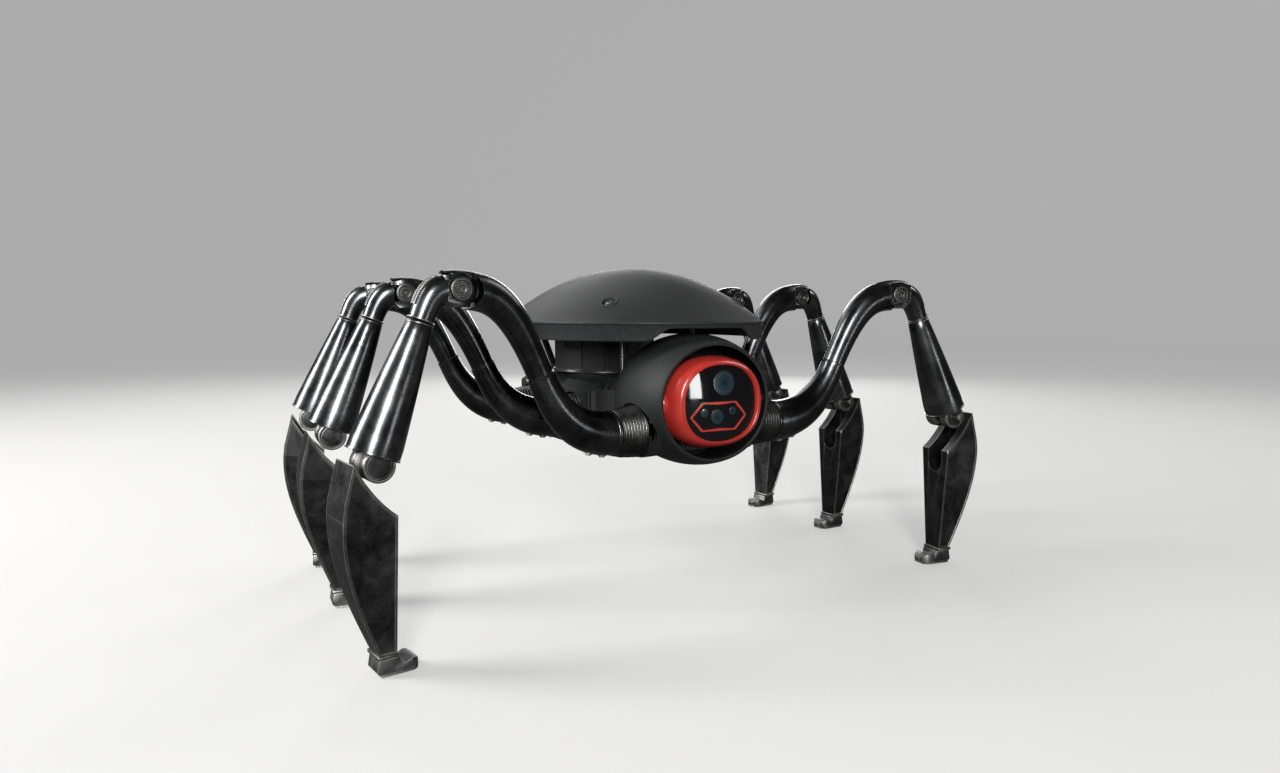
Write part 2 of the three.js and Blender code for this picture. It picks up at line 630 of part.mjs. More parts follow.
// The origin is on the ground, in the middle of the robot's length.
const extent = new THREE.Box3().setFromObject(robot, true);
robot.position.y = -(extent.min.y + extent.max.y) / 2;

export default robot;
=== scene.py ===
"""Looks for the six-legged walking robot: shells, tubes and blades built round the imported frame."""

import json
import math

import bmesh
import bpy
from mathutils import Matrix, Vector


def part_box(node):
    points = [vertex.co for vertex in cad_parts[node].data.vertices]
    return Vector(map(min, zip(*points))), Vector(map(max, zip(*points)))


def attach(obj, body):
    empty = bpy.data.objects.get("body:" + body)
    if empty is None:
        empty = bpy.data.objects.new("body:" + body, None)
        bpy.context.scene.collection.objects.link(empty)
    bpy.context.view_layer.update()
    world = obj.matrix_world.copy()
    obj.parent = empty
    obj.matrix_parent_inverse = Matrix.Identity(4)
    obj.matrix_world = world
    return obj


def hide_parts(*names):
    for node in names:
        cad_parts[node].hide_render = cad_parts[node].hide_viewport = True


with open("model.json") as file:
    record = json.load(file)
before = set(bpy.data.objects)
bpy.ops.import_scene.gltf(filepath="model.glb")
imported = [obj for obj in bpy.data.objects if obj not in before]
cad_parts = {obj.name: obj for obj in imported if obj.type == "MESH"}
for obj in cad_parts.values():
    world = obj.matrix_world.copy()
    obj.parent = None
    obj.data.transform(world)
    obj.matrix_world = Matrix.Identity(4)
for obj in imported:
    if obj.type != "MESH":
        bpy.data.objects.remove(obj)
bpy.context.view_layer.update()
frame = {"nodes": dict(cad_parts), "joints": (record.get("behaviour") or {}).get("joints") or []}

MM = 0.001
JOINTS = {joint["name"]: joint for joint in frame["joints"]}
LEGS = [f"{side}_{row}" for side in ("right", "left") for row in ("front", "middle", "rear")]
PATTERN_LEG = "left_middle"  # every leg has this one's shape


# ---- Places worked out from the frame -----------------------------------------------------------


def joint_place(name):
    return Vector(JOINTS[name]["pos_m"])


def leg_frame(label):
    """Matrix from a leg's own axes, which are out from the body's middle plane, across and up."""
    hip = joint_place(f"{label}_hip_swing")
    out = joint_place(f"{label}_knee") - hip
    out.z = 0
    out.normalize()
    up = Vector((0, 0, 1))
    across = up.cross(out)
    origin = hip - out * (hip.x / out.x)
    origin.z = 0
    return Matrix.Translation(origin) @ Matrix((out, across, up)).transposed().to_4x4()


def in_leg(point):
    """A place in the pattern leg's plane, as [out, up] in millimetres."""
    local = leg_frame(PATTERN_LEG).inverted() @ point
    return (local.x / MM, local.z / MM)


def leg_node_box(node):
    """Lowest and highest corner of one of the pattern leg's nodes, in its own axes and millimetres."""
    back = leg_frame(PATTERN_LEG).inverted()
    places = [back @ v.co / MM for v in frame["nodes"][f"{PATTERN_LEG}_{node}"].data.vertices]
    low = Vector([min(p[i] for p in places) for i in range(3)])
    high = Vector([max(p[i] for p in places) for i in range(3)])
    return low, high


def body_box(node):
    low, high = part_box(node)
    return low / MM, high / MM


def part_way(start, end, out_share, up_share):
    return (start[0] + (end[0] - start[0]) * out_share, start[1] + (end[1] - start[1]) * up_share)


def moved_along(point, slope, length):
    """The place a length away from a point along a slope, in the leg's plane."""
    return (point[0] + length * math.cos(slope), point[1] + length * math.sin(slope))


HIP = in_leg(joint_place(f"{PATTERN_LEG}_hip_swing"))
KNEE = in_leg(joint_place(f"{PATTERN_LEG}_knee"))
ANKLE = in_leg(joint_place(f"{PATTERN_LEG}_ankle"))
BOOT_LOW, BOOT_HIGH = leg_node_box("hip_boot")
FOOT_LOW, FOOT_HIGH = leg_node_box("foot")
SEAM = part_way(HIP, KNEE, 0.615, 0.446)
SEAM_SLOPE = math.radians(66)
COLLAR = part_way(KNEE, ANKLE, 0.429, 0.188)
CONE_END = part_way(KNEE, ANKLE, 0.996, 0.949)
CONE_SLOPE = math.atan2(CONE_END[1] - COLLAR[1], CONE_END[0] - COLLAR[0])

TUBE_SIDES = 72
HIP_RADIUS = 16.0
SEAM_RADIUS = 9.7
THIGH_START_RADIUS = 9.0
THIGH_END_RADIUS = 12.6
ELBOW_RADIUS = 9.8
COLLAR_RADIUS = 7.8
CONE_RADIUS = 16.9
KNEE_CHEEK = 10.8  # radius of the shin's cheeks about the knee pin
KNEE_HOLLOW = 13.2  # radius of the thigh's hollow that they turn in
KNEE_HALF = 7.5
TONGUE_HALF = 3.7  # half the thickness of the tongues on the knee and ankle pins
PIN_BORE = 3.3
ANKLE_EAR = 10.0
ANKLE_HALF = 12.9
DOME_CROWN = 44.5  # height of the dome's top above its rim line


# ---- Mesh helpers, in millimetres ---------------------------------------------------------------


def mix(a, b, t):
    return a + (b - a) * t


def smooth(t):
    return t * t * (3 - 2 * t)


def clamp(t):
    return max(0.0, min(1.0, t))


def object_of(name, bm, sharp_degrees=38):
    """An object from a bmesh, smooth except where two faces meet at more than sharp_degrees."""
    bmesh.ops.recalc_face_normals(bm, faces=bm.faces)
    mesh = bpy.data.meshes.new(name)
    bm.to_mesh(mesh)
    bm.free()
    mesh.shade_smooth()
    mesh.set_sharp_from_angle(angle=math.radians(sharp_degrees))
    obj = bpy.data.objects.new(name, mesh)
    bpy.context.scene.collection.objects.link(obj)
    return obj


def skin(name, rows, looped=False, capped=False, sharp_degrees=38):
    """A mesh over rows of points, each a ring or one pole, with its ends joined, capped or open."""
    bm = bmesh.new()
    loops = [[bm.verts.new(point) for point in row] for row in rows]
    pairs = list(zip(loops, loops[1:]))
    if looped:
        pairs.append((loops[-1], loops[0]))
    for lower, upper in pairs:
        count = max(len(lower), len(upper))
        for i in range(count):
            j = (i + 1) % count
            if len(lower) == 1:
                bm.faces.new((lower[0], upper[j], upper[i]))
            elif len(upper) == 1:
                bm.faces.new((lower[i], lower[j], upper[0]))
            else:
                bm.faces.new((lower[i], lower[j], upper[j], upper[i]))
    if capped:
        bm.faces.new(loops[0][::-1])
        bm.faces.new(loops[-1])
    return object_of(name, bm, sharp_degrees)


def applied(obj, sharp_degrees=38):
    """The object with its modifiers applied and its edges marked sharp again."""
    bpy.context.view_layer.update()
    evaluated = obj.evaluated_get(bpy.context.evaluated_depsgraph_get())
    mesh = bpy.data.meshes.new_from_object(evaluated)
    old = obj.data
    obj.modifiers.clear()
    obj.data = mesh
    bpy.data.meshes.remove(old)
    mesh.shade_smooth()
    mesh.set_sharp_from_angle(angle=math.radians(sharp_degrees))
    return obj


def combined(obj, operation, *tools):
    """obj joined with or cut by the tools, which are then removed."""
    for tool in tools:
        modifier = obj.modifiers.new(operation, "BOOLEAN")
        modifier.operation = operation
        modifier.solver = "EXACT"
        modifier.object = tool
        applied(obj)
        mesh = tool.data
        bpy.data.objects.remove(tool)
        bpy.data.meshes.remove(mesh)
    return obj


def cut(obj, *tools):
    return combined(obj, "DIFFERENCE", *tools)


def joined(obj, *tools):
    return combined(obj, "UNION", *tools)


def kept(obj, *tools):
    return combined(obj, "INTERSECT", *tools)


def bevelled(obj, width, segments=2, degrees=38, crisp=None):
    """Bevelled edges. With crisp given, edges that turn more than that many degrees stay sharp."""
    modifier = obj.modifiers.new("bevel", "BEVEL")
    modifier.width = width
    modifier.segments = segments
    modifier.limit_method = "ANGLE"
    modifier.angle_limit = math.radians(degrees)
    modifier.harden_normals = crisp is None
    return applied(obj, 38 if crisp is None else crisp)


def turned(name, profile, matrix=Matrix.Identity(4), sides=TUBE_SIDES, oval=(1, 1), sharp_degrees=38):
    """A [radius, height] profile turned about Z, then placed by the matrix. Radius 0 closes an end."""
    rows = []
    for radius, height in profile:
        if radius < 1e-6:
            rows.append([matrix @ Vector((0, 0, height))])
            continue
        row = []
        for i in range(sides):
            angle = math.tau * i / sides
            place = (radius * oval[0] * math.cos(angle), radius * oval[1] * math.sin(angle), height)
            row.append(matrix @ Vector(place))
        rows.append(row)
    ring_shaped = len(rows[0]) > 1 and len(rows[-1]) > 1
    return skin(name, rows, looped=ring_shaped, sharp_degrees=sharp_degrees)


def rod(name, matrix, radius, low, high, sides=TUBE_SIDES, edge=0.0):
    """A solid cylinder along the matrix's Z, with its rims bevelled by edge."""
    corners = [(radius, low), (radius, high)]
    if edge:
        corners = [(radius - edge, low), (radius, low + edge), (radius, high - edge), (radius - edge, high)]
    return turned(name, [(0, low), *corners, (0, high)], matrix, sides)


def prism(name, outline, depth_axis, low, high):
    """An outline of two coordinates, extruded along X, Y or Z from low to high."""

    def ring(depth):
        points = []
        for point in outline:
            coordinates = list(point)
            coordinates.insert("XYZ".index(depth_axis), depth)
            points.append(Vector(coordinates))
        return points

    return skin(name, [ring(low), ring(high)], capped=True)


def block(name, low, high):
    outline = [(low[0], low[1]), (high[0], low[1]), (high[0], high[1]), (low[0], high[1])]
    return prism(name, outline, "Z", low[2], high[2])


def arc(centre, radius, start_degrees, end_degrees, steps):
    """Points round part of a circle, or of an ellipse when radius is a pair."""
    wide, high = radius if isinstance(radius, tuple) else (radius, radius)
    points = []
    for i in range(steps + 1):
        angle = math.radians(mix(start_degrees, end_degrees, i / steps))
        points.append((centre[0] + wide * math.cos(angle), centre[1] + high * math.sin(angle)))
    return points


def bezier(start, first, second, end, steps):
    """Points along a cubic curve, without its first one."""
    points = []
    for i in range(1, steps + 1):
        t = i / steps
        weights = ((1 - t) ** 3, 3 * t * (1 - t) ** 2, 3 * t * t * (1 - t), t**3)
        corners = (start, first, second, end)
        points.append(tuple(sum(w * c[k] for w, c in zip(weights, corners)) for k in (0, 1)))
    return points


def along_x(place=(0, 0, 0)):
    return Matrix.Translation(place) @ Matrix.Rotation(math.radians(90), 4, "Y")


def along_y(place=(0, 0, 0), sign=1):
    return Matrix.Translation(place) @ Matrix.Rotation(math.radians(-90 * sign), 4, "X")


def across_leg(place, sign=1):
    """Matrix that lays a turned piece's axis across the leg, at [out, up]."""
    return along_y((place[0], 0, place[1]), sign)


def along_slope(place, slope):
    """Matrix that lays a turned piece's axis along a slope in the leg's plane."""
    return Matrix.Translation((place[0], 0, place[1])) @ Matrix.Rotation(math.pi / 2 - slope, 4, "Y")


class Curve:
    """A cubic curve in the leg's plane, leaving and arriving at given slopes, read by share of length."""

    STEPS = 200

    def __init__(self, start, start_slope, start_handle, end, end_slope, end_handle):
        first = moved_along(start, start_slope, start_handle)
        second = moved_along(end, end_slope, -end_handle)
        self.points = [start] + bezier(start, first, second, end, self.STEPS)
        self.lengths = [0.0]
        for a, b in zip(self.points, self.points[1:]):
            self.lengths.append(self.lengths[-1] + math.dist(a, b))
        self.length = self.lengths[-1]

    def at(self, share):
        wanted = clamp(share) * self.length
        i = 1
        while i < self.STEPS and self.lengths[i] < wanted:
            i += 1
        within = (wanted - self.lengths[i - 1]) / (self.lengths[i] - self.lengths[i - 1])
        a, b = self.points[i - 1], self.points[i]
        return (mix(a[0], b[0], within), mix(a[1], b[1], within))

    def slope(self, share):
        step = 1.5 / self.STEPS
        ahead, behind = self.at(share + step), self.at(share - step)
        return math.atan2(ahead[1] - behind[1], ahead[0] - behind[0])

    def surface(self, share, around, radius):
        """A point on the tube's skin, with around in radians from the side the bend's top is on."""
        out, up = self.at(share)
        slope = self.slope(share)
        lift = radius * math.cos(around)
        return Vector((out - lift * math.sin(slope), radius * math.sin(around), up + lift * math.cos(slope)))


def tube(name, curve, radius_at, steps=48, end=1.0, sides=TUBE_SIDES):
    rows = []
    for i in range(steps + 1):
        share = end * (i / steps)
        radius = radius_at(share)
        rows.append([curve.surface(share, math.tau * k / sides, radius) for k in range(sides)])
    return skin(name, rows, capped=True)


def pad(name, top_at, under_at, steps, across_steps):
    """A closed sheet between two surfaces, each a function of along and across from 0 to 1."""
    rows = []
    for i in range(steps + 1):
        along = i / steps
        row = [top_at(along, k / across_steps) for k in range(across_steps + 1)]
        row += [under_at(along, k / across_steps) for k in range(across_steps, -1, -1)]
        rows.append(row)
    return skin(name, rows, capped=True)


# ---- Materials ----------------------------------------------------------------------------------


class Shader:
    """A material's node tree, with short ways to add what these finishes share."""

    def __init__(self, name):
        self.material = bpy.data.materials.new(name)
        self.material.use_nodes = True
        self.nodes = self.material.node_tree.nodes
        self.links = self.material.node_tree.links
        self.principled = self.nodes["Principled BSDF"]
        place = self.add("ShaderNodeTexCoord")
        info = self.add("ShaderNodeObjectInfo")
        shift = self.add("ShaderNodeVectorMath", operation="SCALE")
        self.links.new(info.outputs["Random"], shift.inputs["Scale"])
        shift.inputs[0].default_value = (3.1, 1.7, 2.3)
        moved = self.add("ShaderNodeVectorMath", operation="ADD")
        self.links.new(place.outputs["Object"], moved.inputs[0])
        self.links.new(shift.outputs[0], moved.inputs[1])
        self.place = moved.outputs[0]

    def add(self, kind, **settings):
        node = self.nodes.new(kind)
        for key, value in settings.items():
            setattr(node, key, value)
        return node

    def feed(self, socket, value):
        if isinstance(value, bpy.types.NodeSocket):
            self.links.new(value, socket)
        elif isinstance(value, (tuple, list)) and len(value) == 3 and socket.type == "RGBA":
            socket.default_value = (*value, 1)
        else:
            socket.default_value = value

    def noise(self, scale, detail=4, roughness=0.55, stretch=(1, 1, 1), distortion=0):
        """Smooth noise from 0 to 1, with scale in cells per metre, drawn out along an axis by stretch."""
        mapping = self.add("ShaderNodeMapping")
        mapping.inputs["Scale"].default_value = stretch
        self.links.new(self.place, mapping.inputs["Vector"])
        node = self.add("ShaderNodeTexNoise")
        self.links.new(mapping.outputs[0], node.inputs["Vector"])
        node.inputs["Scale"].default_value = scale
        node.inputs["Detail"].default_value = detail
        node.inputs["Roughness"].default_value = roughness
        node.inputs["Distortion"].default_value = distortion
        return node.outputs["Fac"]

    def span(self, value, low, high, to_low=0.0, to_high=1.0):
        """The value taken from [low, high] to [to_low, to_high], held at the ends."""
        node = self.add("ShaderNodeMapRange", clamp=True)
        for name, number in zip(("From Min", "From Max", "To Min", "To Max"), (low, high, to_low, to_high)):
            node.inputs[name].default_value = number
        self.feed(node.inputs["Value"], value)
        return node.outputs["Result"]

    def math(self, operation, a, b=0.0, clamped=False):
        node = self.add("ShaderNodeMath", operation=operation, use_clamp=clamped)
        self.feed(node.inputs[0], a)
        self.feed(node.inputs[1], b)
        return node.outputs[0]

    def blend(self, share, a, b):
        node = self.add("ShaderNodeMix", data_type="RGBA")
        self.feed(node.inputs["Factor"], share)
        self.feed(node.inputs["A"], a)
        self.feed(node.inputs["B"], b)
        return node.outputs["Result"]

    def edges(self, radius, gain=6.0):
        """1 along sharp outer and inner edges, fading to 0 within the radius in metres."""
        rounded = self.add("ShaderNodeBevel", samples=4)
        rounded.inputs["Radius"].default_value = radius
        flat = self.add("ShaderNodeNewGeometry")
        dot = self.add("ShaderNodeVectorMath", operation="DOT_PRODUCT")
        self.links.new(rounded.outputs[0], dot.inputs[0])
        self.links.new(flat.outputs["Normal"], dot.inputs[1])
        turn = self.math("SUBTRACT", 1.0, dot.outputs["Value"])
        return self.math("MULTIPLY", turn, gain, clamped=True)

    def scratches(self, scale, width, turn=0.6, rarity=0.6):
        """Thin, nearly straight hairlines in short lengths, as a share from 0 to 1."""
        marks = 0.0
        for angle in (turn, turn + 1.9):
            mapping = self.add("ShaderNodeMapping", vector_type="TEXTURE")
            mapping.inputs["Rotation"].default_value = (angle, 0.7 * angle, 1.3 * angle)
            mapping.inputs["Scale"].default_value = (1, 1, 18)
            self.links.new(self.place, mapping.inputs["Vector"])
            cells = self.add("ShaderNodeTexVoronoi", feature="DISTANCE_TO_EDGE")
            self.links.new(mapping.outputs[0], cells.inputs["Vector"])
            cells.inputs["Scale"].default_value = scale
            line = self.span(cells.outputs["Distance"], 0.0, width, 1.0, 0.0)
            patch = self.span(self.noise(0.6 * scale), rarity, rarity + 0.12)
            marks = self.math("MAXIMUM", marks, self.math("MULTIPLY", line, patch))
        return marks

    def bump(self, height, distance, strength=1.0):
        node = self.add("ShaderNodeBump")
        node.inputs["Strength"].default_value = strength
        node.inputs["Distance"].default_value = distance
        self.feed(node.inputs["Height"], height)
        self.links.new(node.outputs[0], self.principled.inputs["Normal"])

    def set(self, **inputs):
        for name, value in inputs.items():
            self.feed(self.principled.inputs[name.replace("_", " ")], value)
        return self.material


def dark_chrome(name, dark, light, roughness):
    """Polished gunmetal with smudges, fine pits, hairline scratches and bright edges, partly bare worn metal
    and partly painted highlight.
    """
    s = Shader(name)
    smudge = s.span(s.noise(38, detail=6, roughness=0.62, distortion=0.4), 0.38, 0.66)
    mottle = s.span(s.noise(150, detail=5, roughness=0.7), 0.35, 0.7)
    tone = s.blend(smudge, dark, light)
    tone = s.blend(s.math("MULTIPLY", mottle, 0.45), tone, tuple(0.5 * c for c in dark))
    hairlines = s.scratches(110, 0.03, 0.4)
    tone = s.blend(s.math("MULTIPLY", hairlines, 0.25), tone, (0.4, 0.4, 0.4))
    # edges painted bright: partly bare worn metal, partly painted highlight
    edge_wear_and_glint = s.math("MULTIPLY", s.edges(0.0007), s.span(s.noise(220, detail=3), 0.35, 0.6, 0.45, 1.0))
    tone = s.blend(edge_wear_and_glint, tone, (0.42, 0.42, 0.41))
    polish = s.span(s.math("ADD", smudge, s.math("MULTIPLY", mottle, 0.6)), 0.0, 1.6, *roughness)
    s.bump(s.noise(1400, detail=3), 0.00003, 0.5)
    return s.set(Base_Color=tone, Metallic=1.0, Roughness=polish)


def worn_steel(name, dark, light, edge, roughness=(0.34, 0.62), grime=0.75):
    """Cast metal with blotches, pits and grime, and bright edges, partly rubbed wear and partly painted
    highlight.
    """
    s = Shader(name)
    blotch = s.span(s.noise(55, detail=8, roughness=0.7, distortion=0.6), 0.34, 0.68)
    cloud = s.span(s.noise(16, detail=4), 0.35, 0.65)
    tone = s.blend(blotch, dark, light)
    tone = s.blend(s.math("MULTIPLY", cloud, grime), tone, dark)
    pits = s.span(s.noise(420, detail=5, roughness=0.75), 0.56, 0.7)
    tone = s.blend(s.math("MULTIPLY", pits, 0.16), tone, (0.22, 0.215, 0.2))
    hairlines = s.scratches(150, 0.03, 0.9)
    tone = s.blend(s.math("MULTIPLY", hairlines, 0.1), tone, edge)
    # edges painted towards the edge colour: partly rubbed wear, partly painted highlight
    edge_wear_and_glint = s.math("MULTIPLY", s.edges(0.0013), s.span(s.noise(160, detail=4), 0.3, 0.55, 0.55, 1.0))
    tone = s.blend(edge_wear_and_glint, tone, edge)
    polish = s.span(s.math("ADD", blotch, s.math("MULTIPLY", pits, 0.5)), 0.0, 1.5, *roughness)
    relief = s.math("ADD", s.noise(300, detail=6, roughness=0.7), s.math("MULTIPLY", pits, 0.7))
    s.bump(relief, 0.00008, 0.6)
    return s.set(Base_Color=tone, Metallic=0.9, Roughness=polish)


def bare_steel(name, tone_a, tone_b, roughness=(0.22, 0.42)):
    """Turned steel, cloudy in tone, with fine dark specks."""
    s = Shader(name)
    cloud = s.span(s.noise(70, detail=6, roughness=0.65), 0.35, 0.68)
    tone = s.blend(cloud, tone_a, tone_b)
    specks = s.span(s.noise(600, detail=3), 0.6, 0.7)
    tone = s.blend(s.math("MULTIPLY", specks, 0.5), tone, (0.06, 0.055, 0.05))
    # edges painted bright: partly worn steel, partly painted highlight
    edge_wear_and_glint = s.edges(0.0005)
    tone = s.blend(s.math("MULTIPLY", edge_wear_and_glint, 0.6), tone, (0.66, 0.66, 0.64))
    polish = s.span(cloud, 0, 1, *roughness)
    s.bump(s.noise(1100, detail=3), 0.00004, 0.6)
    return s.set(Base_Color=tone, Metallic=1.0, Roughness=polish)


def moulded(name, tone, speck, roughness, grain=900, edge=None, coat=0.0, shine=0.5, band_top=None):
    """Moulded plastic: a fine grain, faint cloudy wear, scuffs and slightly paler edges, partly wear and
    partly painted highlight.
    Below the height band_top, in metres, the grain is glossier and painted paler in speckles, a painted
    sheen."""
    s = Shader(name)
    cloud = s.span(s.noise(12, detail=5, roughness=0.6), 0.35, 0.7)
    fine = s.noise(grain, detail=2)
    colour = s.blend(s.math("MULTIPLY", cloud, 0.5), tone, speck)
    colour = s.blend(s.span(fine, 0.55, 0.75, 0.0, 0.3), colour, speck)
    pale = tuple(min(1, 3.2 * c + 0.03) for c in tone)
    polish = s.span(s.math("ADD", cloud, fine), 0.4, 1.6, *roughness)
    if band_top is not None:
        parts = s.add("ShaderNodeSeparateXYZ")
        s.links.new(s.add("ShaderNodeTexCoord").outputs["Object"], parts.inputs[0])
        below = s.span(parts.outputs["Z"], band_top - 0.0008, band_top + 0.0002, 1.0, 0.0)
        # painted sheen: below the rim line the colour is blended pale in speckles
        sheen_speckle = s.span(s.noise(0.8 * grain, detail=4, roughness=0.7), 0.4, 0.62, 0.0, 0.45)
        colour = s.blend(s.math("MULTIPLY", below, sheen_speckle), colour, pale)
        polish = s.math("SUBTRACT", polish, s.math("MULTIPLY", below, 0.22))
    scuff = s.scratches(70, 0.02, 0.3)
    colour = s.blend(s.math("MULTIPLY", scuff, 0.25), colour, pale)
    # edges painted paler: partly wear, partly painted highlight
    edge_wear_and_glint = s.math("MULTIPLY", s.edges(0.0009), s.span(s.noise(130, detail=4), 0.3, 0.6, 0.4, 1.0))
    colour = s.blend(s.math("MULTIPLY", edge_wear_and_glint, 0.75), colour, edge or pale)
    s.bump(s.math("ADD", fine, s.math("MULTIPLY", scuff, -0.6)), 0.00005, 0.55)
    return s.set(
        Base_Color=colour, Roughness=polish, Coat_Weight=coat, Coat_Roughness=0.08, Specular_IOR_Level=shine
    )


def glossy_red(name="bezel_red"):
    """Lacquered red plastic, cloudy between two reds, with pale dust specks."""
    s = Shader(name)
    cloud = s.span(s.noise(30, detail=4), 0.35, 0.7)
    colour = s.blend(cloud, (0.4, 0.026, 0.018), (0.48, 0.04, 0.027))
    dust = s.span(s.noise(500, detail=4, roughness=0.7), 0.6, 0.75)
    colour = s.blend(s.math("MULTIPLY", dust, 0.12), colour, (0.75, 0.4, 0.35))
    polish = s.span(s.noise(60, detail=5), 0.3, 0.7, 0.2, 0.34)
    s.bump(s.noise(700, detail=2), 0.00003, 0.4)
    return s.set(Base_Color=colour, Roughness=polish, Coat_Weight=0.35, Coat_Roughness=0.16)


def dark_glass(name="window_black"):
    """Black mirror glass with smears and a little dust."""
    s = Shader(name)
    smear = s.span(s.noise(60, detail=5, roughness=0.6, stretch=(1, 1, 0.3)), 0.45, 0.7)
    dust = s.span(s.noise(1200, detail=2), 0.72, 0.78)
    colour = s.blend(s.math("MULTIPLY", dust, 0.5), (0.002, 0.002, 0.003), (0.05, 0.05, 0.055))
    polish = s.span(smear, 0, 1, 0.03, 0.1)
    s.bump(s.noise(25, detail=2), 0.00003, 0.3)
    return s.set(Base_Color=colour, Roughness=polish, Coat_Weight=0.5, Coat_Roughness=0.02)


def lens_blue(name, centre_x, centre_z, radius):
    """Coated glass: dusky blue-teal with darker rings and a black rim, set about one lens's middle."""
    s = Shader(name)
    place = s.add("ShaderNodeTexCoord")
    parts = s.add("ShaderNodeSeparateXYZ")
    s.links.new(place.outputs["Object"], parts.inputs[0])
    x = s.math("DIVIDE", s.math("SUBTRACT", parts.outputs["X"], centre_x), radius)
    z = s.math("DIVIDE", s.math("SUBTRACT", parts.outputs["Z"], centre_z), radius)
    out = s.math("SQRT", s.math("ADD", s.math("MULTIPLY", x, x), s.math("MULTIPLY", z, z)))
    colour = s.blend(s.span(out, 0.0, 0.9), (0.004, 0.016, 0.027), (0.014, 0.038, 0.05))
    rings = s.math("SINE", s.math("MULTIPLY", out, 25.0))
    colour = s.blend(s.span(rings, -0.2, 0.9, 0.0, 0.7), colour, (0.002, 0.008, 0.013))
    colour = s.blend(s.span(out, 0.86, 0.9), colour, (0.003, 0.004, 0.005))
    specks = s.span(s.noise(900, detail=2), 0.66, 0.74, 0, 0.4)
    colour = s.blend(specks, colour, (0.04, 0.06, 0.07))
    s.bump(s.noise(160, detail=2), 0.00002, 0.3)
    polish = s.span(out, 0, 1, 0.12, 0.25)
    return s.set(Base_Color=colour, Roughness=polish, Coat_Weight=0.6, Coat_Roughness=0.05)


def circuit_green(name="board_laminate"):
    """Green laminate with rows of darker copper tracks under the varnish."""
    s = Shader(name)
    tracks = s.span(s.noise(140, detail=1, stretch=(1, 0.15, 1)), 0.5, 0.53)
    colour = s.blend(tracks, (0.012, 0.11, 0.035), (0.02, 0.18, 0.06))
    s.bump(tracks, 0.00005, 0.5)
    return s.set(Base_Color=colour, Roughness=s.span(s.noise(90), 0.3, 0.7, 0.3, 0.5))


FINISH = {
    "leg_metal": dark_chrome("leg_metal", (0.044, 0.045, 0.048), (0.13, 0.131, 0.135), (0.19, 0.34)),
    # a lighter copy of leg_metal, painted light: the elbow, knee cheeks and cone are made paler for the
    # light they catch
    "shin_metal": dark_chrome("shin_metal", (0.075, 0.077, 0.08), (0.19, 0.192, 0.196), (0.2, 0.33)),
    "worn_metal": worn_steel("worn_metal", (0.016, 0.0165, 0.017), (0.12, 0.12, 0.119), (0.46, 0.455, 0.44)),
    "foot_metal": worn_steel("foot_metal", (0.04, 0.0405, 0.041), (0.3, 0.3, 0.295), (0.55, 0.545, 0.53)),
    "pin_metal": bare_steel("pin_metal", (0.2, 0.2, 0.196), (0.3, 0.297, 0.29), (0.34, 0.5)),
    "boot_metal": bare_steel("boot_metal", (0.022, 0.022, 0.0215), (0.055, 0.055, 0.0535), (0.34, 0.5)),
    "cap_metal": bare_steel("cap_metal", (0.085, 0.085, 0.084), (0.16, 0.16, 0.157), (0.34, 0.5)),
    "shell_plastic": moulded(
        "shell_plastic", (0.0105, 0.011, 0.0115), (0.017, 0.0175, 0.018), (0.56, 0.72), shine=0.3
    ),
    "dome_plastic": moulded(
        "dome_plastic",
        (0.0125, 0.013, 0.0135),
        (0.021, 0.0215, 0.022),
        (0.5, 0.64),
        grain=1300,
        shine=0.32,
        # the band below this height gets a painted sheen
        band_top=(body_box("dome_cover")[1].z - DOME_CROWN) * MM,
    ),
    "tower_plastic": moulded("tower_plastic", (0.03, 0.03, 0.032), (0.05, 0.05, 0.052), (0.28, 0.42)),
    "rubber": moulded(
        "rubber", (0.006, 0.006, 0.006), (0.01, 0.01, 0.01), (0.65, 0.85), edge=(0.02, 0.02, 0.02)
    ),
    "bezel_red": glossy_red(),
    "window_black": dark_glass(),
    "battery_wrap": moulded("battery_wrap", (0.02, 0.06, 0.14), (0.03, 0.08, 0.18), (0.35, 0.5), coat=0.3),
    "board_laminate": circuit_green(),
    "camera_body": moulded("camera_body", (0.012, 0.012, 0.013), (0.02, 0.02, 0.02), (0.5, 0.7)),
    "frame_metal": bare_steel("frame_metal", (0.03, 0.031, 0.033), (0.05, 0.051, 0.053), (0.4, 0.55)),
}


# ---- Placing pieces on the frame ----------------------------------------------------------------


def finished(obj, finish):
    """The piece in metres, with one material."""
    obj.data.transform(Matrix.Scale(MM, 4))
    obj.data.materials.clear()
    obj.data.materials.append(finish if isinstance(finish, bpy.types.Material) else FINISH[finish])
    return obj


def on_leg(obj, link, finish, slot, *nodes):
    """The pattern leg's piece becomes six pieces, one on the same link of each leg."""
    finished(obj, finish)
    for label in LEGS:
        piece = bpy.data.objects.new(f"{label}_{obj.name}", obj.data)
        bpy.context.scene.collection.objects.link(piece)
        piece.matrix_world = leg_frame(label)
        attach(piece, f"{label}_{link}")
        if nodes:
            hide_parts(*[f"{label}_{node}" for node in nodes])
    bpy.data.objects.remove(obj)


def on_body(obj, body, finish, slot, *nodes):
    finished(obj, finish)
    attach(obj, body)
    if nodes:
        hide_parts(*nodes)
    return obj


# ---- Leg pieces, drawn once on the pattern leg, in millimetres -----------------------------------

TUBE_START = BOOT_HIGH.x + 0.3
COXA = Curve((TUBE_START, HIP[1]), 0, 36, SEAM, SEAM_SLOPE, 20)
THIGH_START = moved_along(SEAM, SEAM_SLOPE, 0.3)
THIGH = Curve(THIGH_START, SEAM_SLOPE, 54, (KNEE[0] + 4, KNEE[1]), 0, 30)
ELBOW = Curve((KNEE[0] + 5, KNEE[1]), 0, 12, COLLAR, CONE_SLOPE, 12)


def coxa_radius(share):
    return mix(HIP_RADIUS, SEAM_RADIUS, smooth(share))


